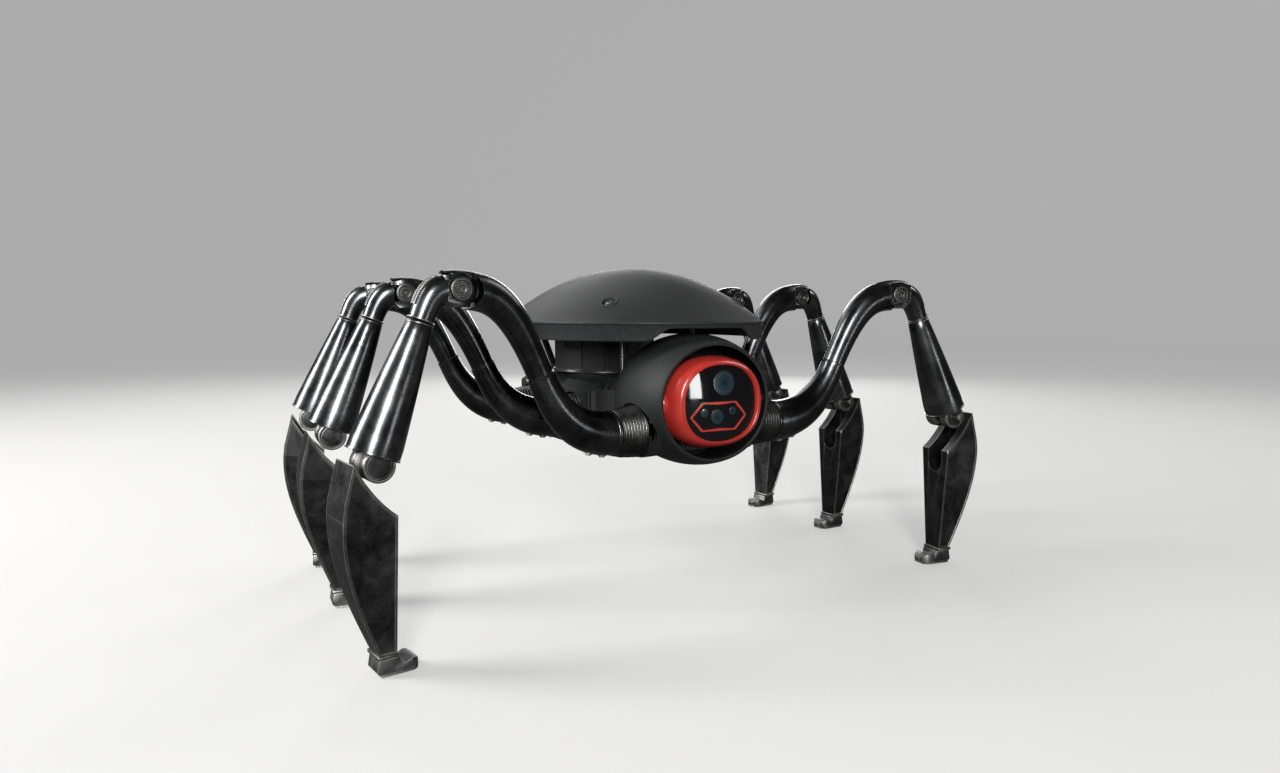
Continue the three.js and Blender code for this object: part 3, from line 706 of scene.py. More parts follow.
def thigh_radius(share):
    return mix(THIGH_START_RADIUS, THIGH_END_RADIUS, smooth(share))


def elbow_radius(share):
    return mix(ELBOW_RADIUS, COLLAR_RADIUS, smooth(share))


def hip_bellows():
    """A tapering boot of round ribs between the body's socket and the tube."""
    ribs = 9
    inner, outer = BOOT_LOW.x, BOOT_HIGH.x
    large, small = 18.9, 16.6
    bore = 8.6
    pitch = (outer - inner) / ribs
    profile = [(bore, inner)]
    for i in range(ribs):
        crest = mix(large, small, i / (ribs - 1))
        for step in range(6):
            swell = math.sin(math.pi * (step + 0.5) / 6) ** 0.6
            profile.append((crest - 1.5 * (1 - swell), inner + (i + (step + 0.5) / 6) * pitch))
    profile.append((bore, outer))
    return turned("bellows", profile, along_x((0, 0, HIP[1])), sides=96)


def coxa_pipe():
    """The hip tube, with the shaft and eye that turn on the swing post inside the body."""
    pipe = tube("coxa_pipe", COXA, coxa_radius, end=0.985)
    shaft = rod("shaft", along_x((0, 0, HIP[1])), 8, HIP[0], TUBE_START + 2, 48)
    eye = rod("eye", Matrix.Translation((HIP[0], 0, HIP[1])), 8, -11, 11, 48)
    bore = rod("bore", Matrix.Translation((HIP[0], 0, HIP[1])), 4.2, -15, 15, 48)
    profile = [(SEAM_RADIUS - 2, -2.4), (SEAM_RADIUS + 0.1, -2.4)]
    profile += [(SEAM_RADIUS + 0.22, -0.8), (SEAM_RADIUS - 2, -0.8)]
    lip = turned("lip", profile, along_slope(SEAM, SEAM_SLOPE))
    return cut(joined(pipe, shaft, eye, lip), bore)


def coxa_start_ring():
    """The band the bellows is clamped to."""
    profile = [(14.5, 0.2), (15.9, 0.2), (16.3, 0.6), (16.3, 2.2), (16.0, 2.6), (14.5, 2.6)]
    return turned("bellows_band", profile, along_x((TUBE_START - 0.2, 0, HIP[1])), sides=96)


def seam_spigot():
    """The dark spigot seen in the joint line between hip tube and thigh."""
    profile = [(0, -4), (8.2, -4), (8.2, 3), (0, 3)]
    return turned("seam_spigot", profile, along_slope(SEAM, SEAM_SLOPE))


def small_screw(name, matrix, radius=2.0, height=1.2):
    """A low round screw head with a hexagon socket, on a washer."""
    washer_profile = [(0, -2), (radius * 1.5, -2), (radius * 1.5, 0.25), (radius * 1.35, 0.45), (0, 0.45)]
    head_profile = [(0, -1), (radius, -1), (radius, height - 0.3), (radius - 0.3, height), (0, height)]
    washer = turned(name, washer_profile, matrix, sides=32)
    head = turned("head", head_profile, matrix, sides=32)
    socket = rod("socket", matrix, radius * 0.5, height - 0.8, height + 1, sides=6)
    return cut(joined(washer, head), socket)


def coxa_screws():
    """Two clamp screws under the start of the hip tube."""
    flip = Matrix.Rotation(math.pi, 4, "X")
    screws = []
    for i, share in enumerate((0.08, 0.2)):
        out, up = COXA.at(share)
        slope = COXA.slope(share)
        radius = coxa_radius(share)
        foot = (out + radius * math.sin(slope), 0, up - radius * math.cos(slope))
        matrix = Matrix.Translation(foot) @ Matrix.Rotation(-slope, 4, "Y") @ flip
        screws.append(small_screw(f"clamp_screw_{i}", matrix, 2.1, 1.4))
    return joined(screws[0], screws[1])


def thigh_pipe():
    """The arch of the thigh, ending in a round hollow that the shin's cheeks turn in."""
    pipe = tube("thigh_pipe", THIGH, thigh_radius, steps=72, sides=96)
    hollow = rod("hollow", across_leg(KNEE), KNEE_HOLLOW, -20, 20, 128)
    below = block("below", (KNEE[0] - 2, -20, KNEE[1] - 40), (KNEE[0] + 40, 20, KNEE[1]))
    beyond = block("beyond", (KNEE[0] - 5, -20, KNEE[1] - 40), (KNEE[0] + 40, 20, KNEE[1] + 40))
    return cut(pipe, hollow, below, beyond)


def thigh_tongue():
    """The tongue that the knee pin passes through, with its neck back to the thigh."""
    x, z = KNEE
    half = TONGUE_HALF
    tongue = rod("thigh_tongue", across_leg(KNEE), KNEE_CHEEK - 1.6, -half, half, 64, edge=0.4)
    neck = block("neck", (x - KNEE_HOLLOW - 3, -half, z - 5), (x, half, z + 5))
    bore = rod("bore", across_leg(KNEE), PIN_BORE, -20, 20, 32)
    return cut(joined(tongue, neck), bore)


def thigh_hood():
    """A thin lip that carries the top of the thigh on over the knee and past the pin."""
    start, end = KNEE[0] - 17, KNEE[0] + 9.5

    def outer_radius(along):
        return THIGH_END_RADIUS + mix(-0.4, 0.15, smooth(clamp(2.4 * along)))

    def half_angle(along):
        tip = clamp((along - 0.75) / 0.25)
        return math.radians(mix(37, 22, tip * tip)) * smooth(clamp(0.5 + along * 2.0))

    def place(along, across, radius):
        angle = mix(-1, 1, across) * half_angle(along)
        out = mix(start, end, along)
        droop = 0.012 * max(0.0, out - KNEE[0]) ** 2
        return Vector((out, radius * math.sin(angle), thigh_middle(out) - droop + radius * math.cos(angle)))

    def top(along, across):
        return place(along, across, outer_radius(along) - 0.4 * abs(mix(-1, 1, across)) ** 8)

    def under(along, across):
        return place(along, across, outer_radius(along) - 0.9)

    return pad("thigh_hood", top, under, 48, 32)


def thigh_middle(out):
    """Height of the thigh's centre line at a distance out, level beyond its end."""
    low, high = 0.0, 1.0
    for _ in range(30):
        share = (low + high) / 2
        if THIGH.at(share)[0] < out:
            low = share
        else:
            high = share
    return THIGH.at(low)[1]


def knee_caps():
    """The ringed covers on both ends of the knee pin."""
    profile = [(0, 1.5), (0.6, 1.45), (1.0, 1.0), (1.8, 0.95), (2.1, 1.35), (3.0, 1.6), (3.9, 1.5)]
    profile += [(4.3, 1.1), (4.5, 0.45), (5.1, 0.4), (5.3, 1.1), (5.8, 1.55), (6.7, 1.6), (7.3, 1.25)]
    profile += [(7.5, 0.7), (7.5, 0.0), (0, 0.0)]
    caps = []
    for sign in (-1, 1):
        matrix = across_leg(KNEE, sign) @ Matrix.Translation((0, 0, KNEE_HALF + 0.25))
        caps.append(turned("knee_cap", profile, matrix, sides=96, sharp_degrees=50))
    pin = rod("pin", across_leg(KNEE), 3.0, -KNEE_HALF - 0.5, KNEE_HALF + 0.5, 48)
    return joined(pin, *caps)


def cheek_outline():
    """The flat sides of the knee: round above and behind, squared off below."""
    x, z = KNEE
    outline = arc(KNEE, KNEE_CHEEK, 60, 232, 44)
    outline += [(x - 5.6, z - 11.2), (x + 5.2, z - 11.2), (x + 9.3, z - 6.8)]
    outline += [(x + 10.5, z - 6.0), (x + 10.5, z + 8.6)]
    return outline


def knee_flats():
    """The space beside the knee's flat cheeks."""
    x, z = KNEE
    flats = []
    for side in (-1, 1):
        near, far = sorted((side * KNEE_HALF, side * 20))
        flats.append(block("flat", (x - 20, near, z - 20), (x + 9.3, far, z + 20)))
    return flats


def knee_slot():
    """The space between the cheeks that the thigh's tongue sits in."""
    x, z = KNEE
    outline = [(x - 15, z - 12.4)] + arc(KNEE, 11.8, -90, 90, 24) + [(x - 15, z + 12.4)]
    return prism("slot", outline, "Y", -4.0, 4.0)


def elbow_pipe():
    """The shin's elbow."""
    pipe = tube("elbow_pipe", ELBOW, elbow_radius, steps=40, sides=96)
    return cut(pipe, *knee_flats(), knee_slot())


def knee_cheeks():
    """The two flat cheeks on the knee pin, part of the shin."""
    cheeks = prism("knee_cheeks", cheek_outline(), "Y", -KNEE_HALF, KNEE_HALF)
    bore = rod("bore", across_leg(KNEE), PIN_BORE, -20, 20, 32)
    return bevelled(cut(cheeks, knee_slot(), bore), 0.35, 2)


def elbow_grille():
    """A raised frame with fine ribs inside it, on the outer bend."""
    ribs = 17
    reach = (0.2, 0.74)
    half_angle = math.radians(25)
    rim = 0.09

    def height(along, across):
        edge = min(across, 1 - across, along * 2.4, (1 - along) * 2.4)
        if edge < rim:
            return 0.95 * smooth(clamp(edge / (0.35 * rim)))
        inner = (along - 0.04) / 0.92
        wave = 0.5 - 0.5 * math.cos(math.tau * ribs * inner)
        return 0.15 + 0.5 * smooth(clamp(wave * 1.6 - 0.2))

    def place(along, across, lift):
        share = mix(*reach, along)
        around = mix(-1, 1, across) * half_angle * mix(1.0, 0.8, along)
        return ELBOW.surface(share, around, elbow_radius(share) + lift)

    def top(along, across):
        return place(along, across, height(along, across))

    def under(along, across):
        return place(along, across, -1.0)

    return pad("elbow_grille", top, under, ribs * 8, 40)


def shin_collar():
    """Two thin bright rings between elbow and cone, the lower one a little askew."""
    upper = [(COLLAR_RADIUS - 1, -0.8), (COLLAR_RADIUS + 0.95, -0.8), (COLLAR_RADIUS + 1.2, -0.5)]
    upper += [(COLLAR_RADIUS + 1.2, -0.2), (COLLAR_RADIUS + 0.95, 0.1), (COLLAR_RADIUS - 1, 0.1)]
    lower = [(radius - 0.3, height * 0.8) for radius, height in upper]
    straight = along_slope(COLLAR, CONE_SLOPE)
    askew = straight @ Matrix.Translation((0, 0, 2.1)) @ Matrix.Rotation(math.radians(5), 4, "Y")
    ring = turned("shin_collar", upper, straight, sides=96)
    return joined(ring, turned("lower", lower, askew, sides=96))


def shin_cone():
    """The long cone of the shin, hollow at its foot."""
    length = math.dist(COLLAR, CONE_END)
    top = COLLAR_RADIUS + 0.5
    profile = [(0, 0.2), (top - 0.8, 0.2), (top, 1.2)]
    for i in range(1, 13):
        share = i / 12
        swell = 0.35 * math.sin(math.pi * share) - (0.5 if i == 12 else 0)
        profile.append((mix(top, CONE_RADIUS, share) + swell, mix(1.2, length - 1.2, share)))
    profile += [(CONE_RADIUS, length - 0.9), (CONE_RADIUS, length - 0.35), (CONE_RADIUS - 0.4, length)]
    profile += [(CONE_RADIUS - 1.8, length), (CONE_RADIUS - 2.2, length - 4.5), (0, length - 4.5)]
    return turned("shin_cone", profile, along_slope(COLLAR, CONE_SLOPE), sides=128)


def ankle_ears():
    """Two round ears on the ankle pin, with a raised rim round a sunk face."""
    half = ANKLE_HALF
    radius = ANKLE_EAR
    profile = [(0, 4.0), (radius - 1.2, 4.0), (radius - 0.3, 4.7), (radius, 5.6), (radius, half - 0.9)]
    profile += [(radius - 0.35, half - 0.2), (radius - 1.0, half), (radius - 1.7, half - 0.1)]
    profile += [(radius - 2.1, half - 0.6), (radius - 2.2, half - 1.4), (0, half - 1.4)]
    ears = []
    for sign in (-1, 1):
        ear = turned("ankle_ears", profile, across_leg(ANKLE, sign), sides=96, sharp_degrees=50)
        near, far = sorted((sign * 5.5, sign * (half - 1.8)))
        root = block("root", (ANKLE[0] - 8, near, ANKLE[1] + 2), (ANKLE[0] + 8, far, ANKLE[1] + 9.5))
        ears.append(joined(ear, root))
    return joined(*ears)


def ankle_discs():
    """The stained ends of the ankle pin, sunk inside the ears' rims."""
    half = ANKLE_HALF
    profile = [(0, half - 1.6), (7.5, half - 1.6), (7.7, half - 1.2), (7.5, half - 0.8)]
    profile += [(6.9, half - 0.65), (0, half - 0.55)]
    discs = [turned("ankle_disc", profile, across_leg(ANKLE, sign), sides=72) for sign in (-1, 1)]
    pin = rod("ankle_disc", across_leg(ANKLE), 2.9, -half + 1.2, half - 1.2, 40)
    return joined(pin, *discs)


BLADE_TOP_HALF = leg_node_box("blade")[1].y
BLADE_FOOT_HALF = 8.5
BLADE_TAPER_TOP = 100.0
BLADE_FOOT = 13.0
BLADE_IN = ANKLE[0] - 9.1  # the upright inner edge
BLADE_OUT = ANKLE[0] + 21.9  # the spine's outermost point


def blade_half(z):
    return mix(BLADE_FOOT_HALF, BLADE_TOP_HALF, clamp((z - BLADE_FOOT) / (BLADE_TAPER_TOP - BLADE_FOOT)))


def blade_outline():
    """Seen across the leg: a bowed outer edge, a hollowed top edge and an upright inner edge."""
    inner, out = BLADE_IN, BLADE_OUT
    outline = [(inner, BLADE_FOOT), (out - 20, BLADE_FOOT)]
    outline += bezier((out - 20, BLADE_FOOT), (out - 5.5, 48), (out + 5.5, 78), (out, 110), 28)
    peak = (out - 5.7, 132.5)
    outline.append(peak)
    outline += bezier(peak, (out - 13.5, 117.5), (out - 22, 106.8), (inner, BLADE_TAPER_TOP), 16)
    return outline


def blade_plate():
    """A broad spine with two side plates, whose stained faces are sunk inside bright borders."""
    outline = blade_outline()
    rows = [[Vector((x, side * blade_half(z), z)) for x, z in outline] for side in (-1, 1)]
    obj = skin("blade_plate", rows, capped=True)
    bm = bmesh.new()
    bm.from_mesh(obj.data)
    everything = bm.verts[:] + bm.edges[:] + bm.faces[:]
    bmesh.ops.bisect_plane(bm, geom=everything, plane_co=(0, 0, BLADE_TAPER_TOP), plane_no=(0, 0, 1))
    bm.normal_update()
    for side in (-1, 1):
        faces = [f for f in bm.faces if f.normal.y * side > 0.8]
        bmesh.ops.inset_region(bm, faces=faces, thickness=1.2, depth=0, use_even_offset=True)
        faces = [f for f in faces if f.is_valid]
        bmesh.ops.inset_region(bm, faces=faces, thickness=0.3, depth=-0.3, use_even_offset=True)
    bm.to_mesh(obj.data)
    bm.free()
    slot_half, slot_floor, spine = 8.2, 81.0, 8.0
    far = BLADE_OUT - spine
    slot = block("slot", (230, -slot_half, slot_floor + slot_half), (far, slot_half, 145))
    slot_end = rod("end", along_x((0, 0, slot_floor + slot_half)), slot_half, 230, far, 144)
    return bevelled(cut(obj, joined(slot, slot_end)), 0.45, 2, crisp=3)


def blade_lug():
    """The web and tongue inside the blade's slot that turn on the ankle pin."""
    x, z = ANKLE
    half = TONGUE_HALF
    outline = [(x, z - 8.4), (x + 5.5, z - 16), (x + 13.5, z - 27)]
    outline += [(x + 18.6, z - 22), (x + 16, z - 1), (x + 6, z + 6)]
    web = prism("blade_lug", outline, "Y", -half, half)
    tongue = rod("tongue", across_leg(ANKLE), ANKLE_EAR - 1.2, -half, half, 72)
    bore = rod("bore", across_leg(ANKLE), PIN_BORE, -20, 20, 32)
    return bevelled(cut(joined(web, tongue), bore), 0.3, 2)


def foot_flange():
    """The collar plate the blade's end stands in."""
    half = BLADE_FOOT_HALF + 1.1
    inner, out = BLADE_IN - 1.1, BLADE_OUT - 18.6
    plate = block("foot_flange", (inner, -half, BLADE_FOOT - 1.7), (out, half, BLADE_FOOT + 0.5))
    return bevelled(plate, 0.4, 2)


def foot_block():
    """A heel block and a short inward toe with a rounded top, its edges painted bright as part wear and part
    painted highlight, over a thin sole.
    """
    heel_out, heel_in, toe = FOOT_HIGH.x, FOOT_HIGH.x - 14.5, FOOT_LOW.x
    half = FOOT_HIGH.y - 0.4
    top = BLADE_FOOT - 1.9
    outline = [(toe + 1.2, 0), (heel_out - 2.5, 0), (heel_out, 3.2), (heel_out - 1.3, top), (heel_in, top)]
    outline += bezier((heel_in, top), (heel_in - 0.6, 7), (heel_in - 1.2, 5.8), (heel_in - 3, 6.2), 6)
    outline += bezier((heel_in - 3, 6.2), (heel_in - 6, 7.4), (heel_in - 8, 9.6), (heel_in - 10.2, 7.8), 8)
    outline += bezier((heel_in - 10.2, 7.8), (toe - 0.4, 6.2), (toe - 0.2, 3.4), (toe, 1.4), 6)
    body = prism("foot_block", outline, "Y", -half, half)
    plan = arc((toe + 7, 0), (7, half), 90, 270, 24) + [(heel_out + 1, -half), (heel_out + 1, half)]
    body = bevelled(kept(body, prism("plan", plan, "Z", -1, 20)), 0.9, 3, degrees=30)
    line = block("line", (toe - 5, -20, 1.5), (heel_out + 5, 20, 1.9))
    core = block("core", (toe + 1.0, -half + 0.9, 0.5), (heel_out - 0.9, half - 0.9, 3))
    return cut(body, cut(line, core))


def build_legs():
    on_leg(hip_bellows(), "thigh_link", "boot_metal", "boot_metal", "hip_boot")
    on_leg(coxa_start_ring(), "thigh_link", "leg_metal", "leg_metal")
    on_leg(coxa_pipe(), "thigh_link", "leg_metal", "leg_metal", "coxa_tube")
    on_leg(coxa_screws(), "thigh_link", "pin_metal", "pin_metal")
    on_leg(seam_spigot(), "thigh_link", "rubber", "leg_metal")
    on_leg(thigh_pipe(), "thigh_link", "leg_metal", "leg_metal", "thigh_tube")
    on_leg(thigh_hood(), "thigh_link", "leg_metal", "leg_metal")
    on_leg(thigh_tongue(), "thigh_link", "leg_metal", "leg_metal")
    on_leg(knee_caps(), "thigh_link", "cap_metal", "pin_metal", "knee_pin")
    # the elbow, cheeks and cone take the lighter copy of leg_metal, painted light
    on_leg(elbow_pipe(), "shin_link", "shin_metal", "leg_metal", "shin")
    on_leg(knee_cheeks(), "shin_link", "shin_metal", "leg_metal")
    on_leg(elbow_grille(), "shin_link", "worn_metal", "worn_metal")
    on_leg(shin_collar(), "shin_link", "pin_metal", "pin_metal")
    on_leg(shin_cone(), "shin_link", "shin_metal", "leg_metal")
    on_leg(ankle_ears(), "shin_link", "pin_metal", "pin_metal")
    on_leg(ankle_discs(), "shin_link", "worn_metal", "worn_metal", "ankle_pin")
    on_leg(blade_plate(), "blade_link", "worn_metal", "worn_metal", "blade")
    on_leg(blade_lug(), "blade_link", "pin_metal", "pin_metal")
    on_leg(foot_flange(), "blade_link", "pin_metal", "pin_metal")
    on_leg(foot_block(), "blade_link", "foot_metal", "worn_metal", "foot")


build_legs()


# ---- Body pieces, in the robot's frame and millimetres -------------------------------------------

DOME_LOW, DOME_HIGH = body_box("dome_cover")
POD_LOW, POD_HIGH = body_box("head_shell")
HULL_LOW, HULL_HIGH = body_box("hull_shell")
TOWER_LOW, TOWER_HIGH = body_box("electronics_tower")
BEZEL_LOW, BEZEL_HIGH = body_box("camera_bezel")
TILT = joint_place("camera_tilt") / MM

MIDDLE_Y = (DOME_LOW.y + DOME_HIGH.y) / 2
DOME_HALF = (DOME_HIGH.x, (DOME_HIGH.y - DOME_LOW.y) / 2)
DOME_RIM = DOME_HIGH.z - DOME_CROWN
DOME_SKIRT = DOME_RIM - 13.5
DOME_LIP = DOME_RIM - 4.0
DOME_WALL = 3.0
NOTCH = (30.0, 48.0)  # half width of the notch over the pod, at its top and at the skirt's foot

POD_CENTRE = Vector((0, POD_LOW.y + 34.3, (POD_LOW.z + POD_HIGH.z) / 2))
POD_HALF = Vector((POD_HIGH.x, 72.0, 50.0))
POD_WALL = 2.5
SOCKET_OVAL = (24.5, 20.5)
HULL_BEVEL = 9.0
HULL_WALL = 3.0
HULL_HALF = 47.0
BOSS_HALF_LENGTH = 33.0


def dome_height(share):
    return DOME_RIM + DOME_CROWN * (1 - share**2.1)


def skirt_foot(x, y):
    """Height of the skirt's lower edge, raised in a smooth ramp over the pod."""
    if y > MIDDLE_Y:
        return DOME_SKIRT
    ramp = smooth(clamp((NOTCH[1] - abs(x)) / (NOTCH[1] - NOTCH[0])))
    return mix(DOME_SKIRT, DOME_LIP, ramp)


def dome_shell():
    """A shallow oval cap with a thin rim line and an upright band below it."""
    sides = 240
    inner = 1 - DOME_WALL / DOME_HALF[0]
    cap = [i / 40 for i in range(41)]
    outer = [(0.9915 * share, dome_height(0.9915 * share), 0) for share in cap]
    rim = [(0.9965, DOME_RIM + 0.55, 0), (0.9995, DOME_RIM + 0.1, 0), (1.0, DOME_RIM - 0.5, 0)]
    rim += [(0.9985, DOME_RIM - 1.1, 0), (0.9945, DOME_RIM - 1.5, 0), (0.9915, DOME_RIM - 2.0, 0)]
    foot = [(0.9905, 1.3, 1), (0.9885, 0.4, 1), (0.985, 0.0, 1), (inner + 0.004, 0.0, 1), (inner, 0.5, 1)]
    under = [(inner * share, dome_height(share) - DOME_WALL, 0) for share in cap[:0:-1]]
    profile = outer + rim + foot + under
    rows = []
    for share, height, from_foot in profile:
        if share == 0:
            rows.append([Vector((0, MIDDLE_Y, height))])
            continue
        row = []
        for k in range(sides):
            angle = math.tau * k / sides
            x = DOME_HALF[0] * share * math.cos(angle)
            y = MIDDLE_Y + DOME_HALF[1] * share * math.sin(angle)
            z = height + skirt_foot(x, y) if from_foot else height
            row.append(Vector((x, y, z)))
        rows.append(row)
    rows.append([Vector((0, MIDDLE_Y, dome_height(0) - DOME_WALL))])
    dome = skin("dome_shell", rows, sharp_degrees=55)
    return cut(dome, *[rod("dimple", place, 5.6, -1.5, 8, 64) for place in dimple_places()])


def dome_normal(x, y):
    """Outward direction of the cap at a place."""
    step = 0.5

    def height(px, py):
        return dome_height(math.hypot(px / DOME_HALF[0], (py - MIDDLE_Y) / DOME_HALF[1]))

    slope_x = (height(x + step, y) - height(x - step, y)) / (2 * step)
    slope_y = (height(x, y + step) - height(x, y - step)) / (2 * step)
    return Vector((-slope_x, -slope_y, 1)).normalized()


def dimple_places():
    """Frames of the four screw dimples, with Z along the cap's normal."""
    out, along = 58.7, 75.5
    places = []
    for x in (-out, out):
        for y in (MIDDLE_Y - along, MIDDLE_Y + along):
            share = math.hypot(x / DOME_HALF[0], (y - MIDDLE_Y) / DOME_HALF[1])
            turn = dome_normal(x, y).to_track_quat("Z", "Y").to_matrix().to_4x4()
            places.append(Matrix.Translation((x, y, dome_height(share))) @ turn)
    return places


def dimple_ring(matrix):
    profile = [(5.0, -1.4), (6.5, -1.2), (6.7, 0.1), (6.5, 0.45), (6.1, 0.6), (5.6, 0.4), (5.2, -0.4)]
    return turned("dome_dimple_rings", profile, matrix, sides=64)


def dimple_screw(matrix):
    sunk = matrix @ Matrix.Translation((0, 0, -1.6))
    return small_screw("dome_screws", sunk, 2.3, 1.6)


def dome_posts():
    """Two thin bright posts in front of the tower."""
    out, ahead = 33, 48
    posts = []
    for x in (-out, out):
        place = Matrix.Translation((x, MIDDLE_Y - ahead, 0))
        top = dome_height(math.hypot(x / DOME_HALF[0], ahead / DOME_HALF[1])) - 1.2
        post = rod("dome_posts", place, 1.9, HULL_HIGH.z + 0.3, top, 32)
        foot = rod("foot", place, 3.6, HULL_HIGH.z + 0.2, HULL_HIGH.z + 2.2, 32, edge=0.4)
        posts.append(joined(post, foot))
    return joined(*posts)


def dome_struts():
    """Two dark struts behind the tower, leaning outwards."""
    foot_out, top_out, behind = 30.5, 50, 92
    struts = []
    for side in (-1, 1):
        low = Vector((side * foot_out, MIDDLE_Y + behind, HULL_HIGH.z - 1))
        high = Vector((side * top_out, MIDDLE_Y + behind, DOME_RIM + 4))
        lean = (high - low).to_track_quat("Z", "Y").to_matrix().to_4x4()
        place = Matrix.Translation(low) @ lean
        strut = rod("dome_struts", place, 3.0, 0, (high - low).length, 40)
        collar = rod("collar", place, 4.2, 1.5, 5.5, 40, edge=0.5)
        struts.append(joined(strut, collar))
    return joined(*struts)


def tower_drum():
    """A drum of shallow upright staves with narrow grooves between them, under a cap ring."""
    radius = (TOWER_HIGH.x - TOWER_LOW.x) / 2
    middle = (TOWER_LOW.y + TOWER_HIGH.y) / 2
    staves, per_stave = 14, 16
    low, high = TOWER_LOW.z, TOWER_HIGH.z

    def ring(height, grow):
        points = []
        for k in range(staves * per_stave):
            within = (k % per_stave) / per_stave
            hollow = 1.5 * (1 - (2 * within - 1) ** 2)
            groove = 1.6 if within == 0 else 0.0
            r = radius - hollow - groove + grow
            angle = math.tau * (k + 0.5 * per_stave) / (staves * per_stave)
            points.append(Vector((r * math.cos(angle), middle + r * math.sin(angle), height)))
        return points

    rows = [ring(low, -1.2), ring(low + 1.2, 0), ring(high - 3, 0), ring(high - 2, -1.5), ring(high, -1.5)]
    drum = skin("tower_drum", rows, capped=True)
    foot = [(radius - 6, low), (radius + 1.5, low), (radius + 1.5, low + 1.6)]
    foot += [(radius + 0.9, low + 2.4), (radius - 6, low + 2.4)]
    band = turned("band", foot, Matrix.Translation((0, middle, 0)), sides=160)
    return joined(drum, band)


def pod_frame():
    """Matrix that lays a turned profile along the pod's length, forwards, with its oval upright."""
    return Matrix(((1, 0, 0, 0), (0, 0, 1, 0), (0, 1, 0, POD_CENTRE.z), (0, 0, 0, 1)))


def pod_share(y, grow=0.0):
    return math.sqrt(max(0.0, 1 - ((y - POD_CENTRE.y) / (POD_HALF.y + grow)) ** 2))


def heading_frame(label):
    """Matrix whose Z runs out along a leg from the body's middle plane at hip height, with Y up."""
    base = leg_frame(label)
    base.translation = base.translation / MM
    outwards = Matrix(((0, 0, 1, 0), (-1, 0, 0, 0), (0, 1, 0, 0), (0, 0, 0, 1)))
    return base @ Matrix.Translation((0, 0, HIP[1])) @ outwards


def socket_cutter(label, low, high):
    profile = [(0, low), (1, low), (1, high), (0, high)]
    return turned("socket", profile, heading_frame(label), sides=96, oval=SOCKET_OVAL)


def pod_shell():
    """A hollow egg, open in front with a rounded rim, with an oval socket for each front leg."""
    steps = 44
    mouth, back = POD_LOW.y, POD_HIGH.y
    outer_half = (POD_HALF.x, POD_HALF.z)
    profile = []
    for i in range(steps + 1):
        y = mix(back, mouth + 1.0, i / steps)
        profile.append((pod_share(y), y))
    rim_share = pod_share(mouth)
    profile += [(rim_share + 0.002, mouth + 0.35), (rim_share - 0.008, mouth), (rim_share - 0.032, mouth)]
    inner = 1 - POD_WALL / 52
    profile += [(rim_share * inner - 0.004, mouth + 0.5)]
    for i in range(1, steps + 1):
        y = mix(mouth + 1.0, back, i / steps)
        profile.append((pod_share(y, -POD_WALL) * inner, y))
    shell = turned("pod_shell", profile, pod_frame(), sides=160, oval=outer_half, sharp_degrees=50)
    fronts = [label for label in LEGS if label.endswith("front")]
    return cut(shell, *[socket_cutter(label, 22, 90) for label in fronts])


def pod_bulkhead():
    """A dark wall inside the pod, behind the camera."""
    y = POD_LOW.y + 44
    share = pod_share(y) - 0.06
    profile = [(0, y), (share, y), (share, y + 2), (0, y + 2)]
    return turned("pod_bulkhead", profile, pod_frame(), sides=96, oval=(POD_HALF.x, POD_HALF.z))


def socket_lining(label):
    """A dark sleeve round one socket with a wall across it, open in the middle for the hip shaft."""
    matrix = heading_frame(label)
    wall_inner, wall_outer, lip = 41.5, 43.2, 48.0

    def ring(share, at):
        row = []
        for angle in ring_angles(96):
            start = mix(23, 34, smooth(clamp(1.2 + 1.6 * math.sin(angle))))
            wide, high = SOCKET_OVAL[0] * share, SOCKET_OVAL[1] * share
            out = start if at is None else at
            row.append(Vector((wide * math.cos(angle), high * math.sin(angle), out)))
        return row

    loop = [(0.995, None), (0.995, lip), (0.95, lip), (0.95, wall_outer), (0.58, wall_outer)]
    loop += [(0.58, wall_inner), (0.95, wall_inner), (0.95, None)]
    rows = [[matrix @ point for point in ring(share, at)] for share, at in loop]
    return skin(f"{label}_socket_lining", rows, looped=True)


def ring_angles(count):
    return [math.tau * i / count for i in range(count)]


def rounded_outline(half_x, y0, y1, radius, steps=10):
    outline = arc((half_x - radius, y1 - radius), radius, 0, 90, steps)
    outline += arc((-half_x + radius, y1 - radius), radius, 90, 180, steps)
    outline += arc((-half_x + radius, y0 + radius), radius, 180, 270, steps)
    outline += arc((half_x - radius, y0 + radius), radius, 270, 360, steps)
    return outline


def faceted_block(name, half_x, y0, y1, z0, z1, bevel, radius):
    """A block with rounded plan corners and one sloping facet round its top and its bottom."""
    rows = []
    for z, inset in ((z0, bevel), (z0 + bevel, 0), (z1 - bevel, 0), (z1, bevel)):
        outline = rounded_outline(half_x - inset, y0 + inset, y1 - inset, radius)
        rows.append([Vector((x, y, z)) for x, y in outline])
    return skin(name, rows, capped=True)


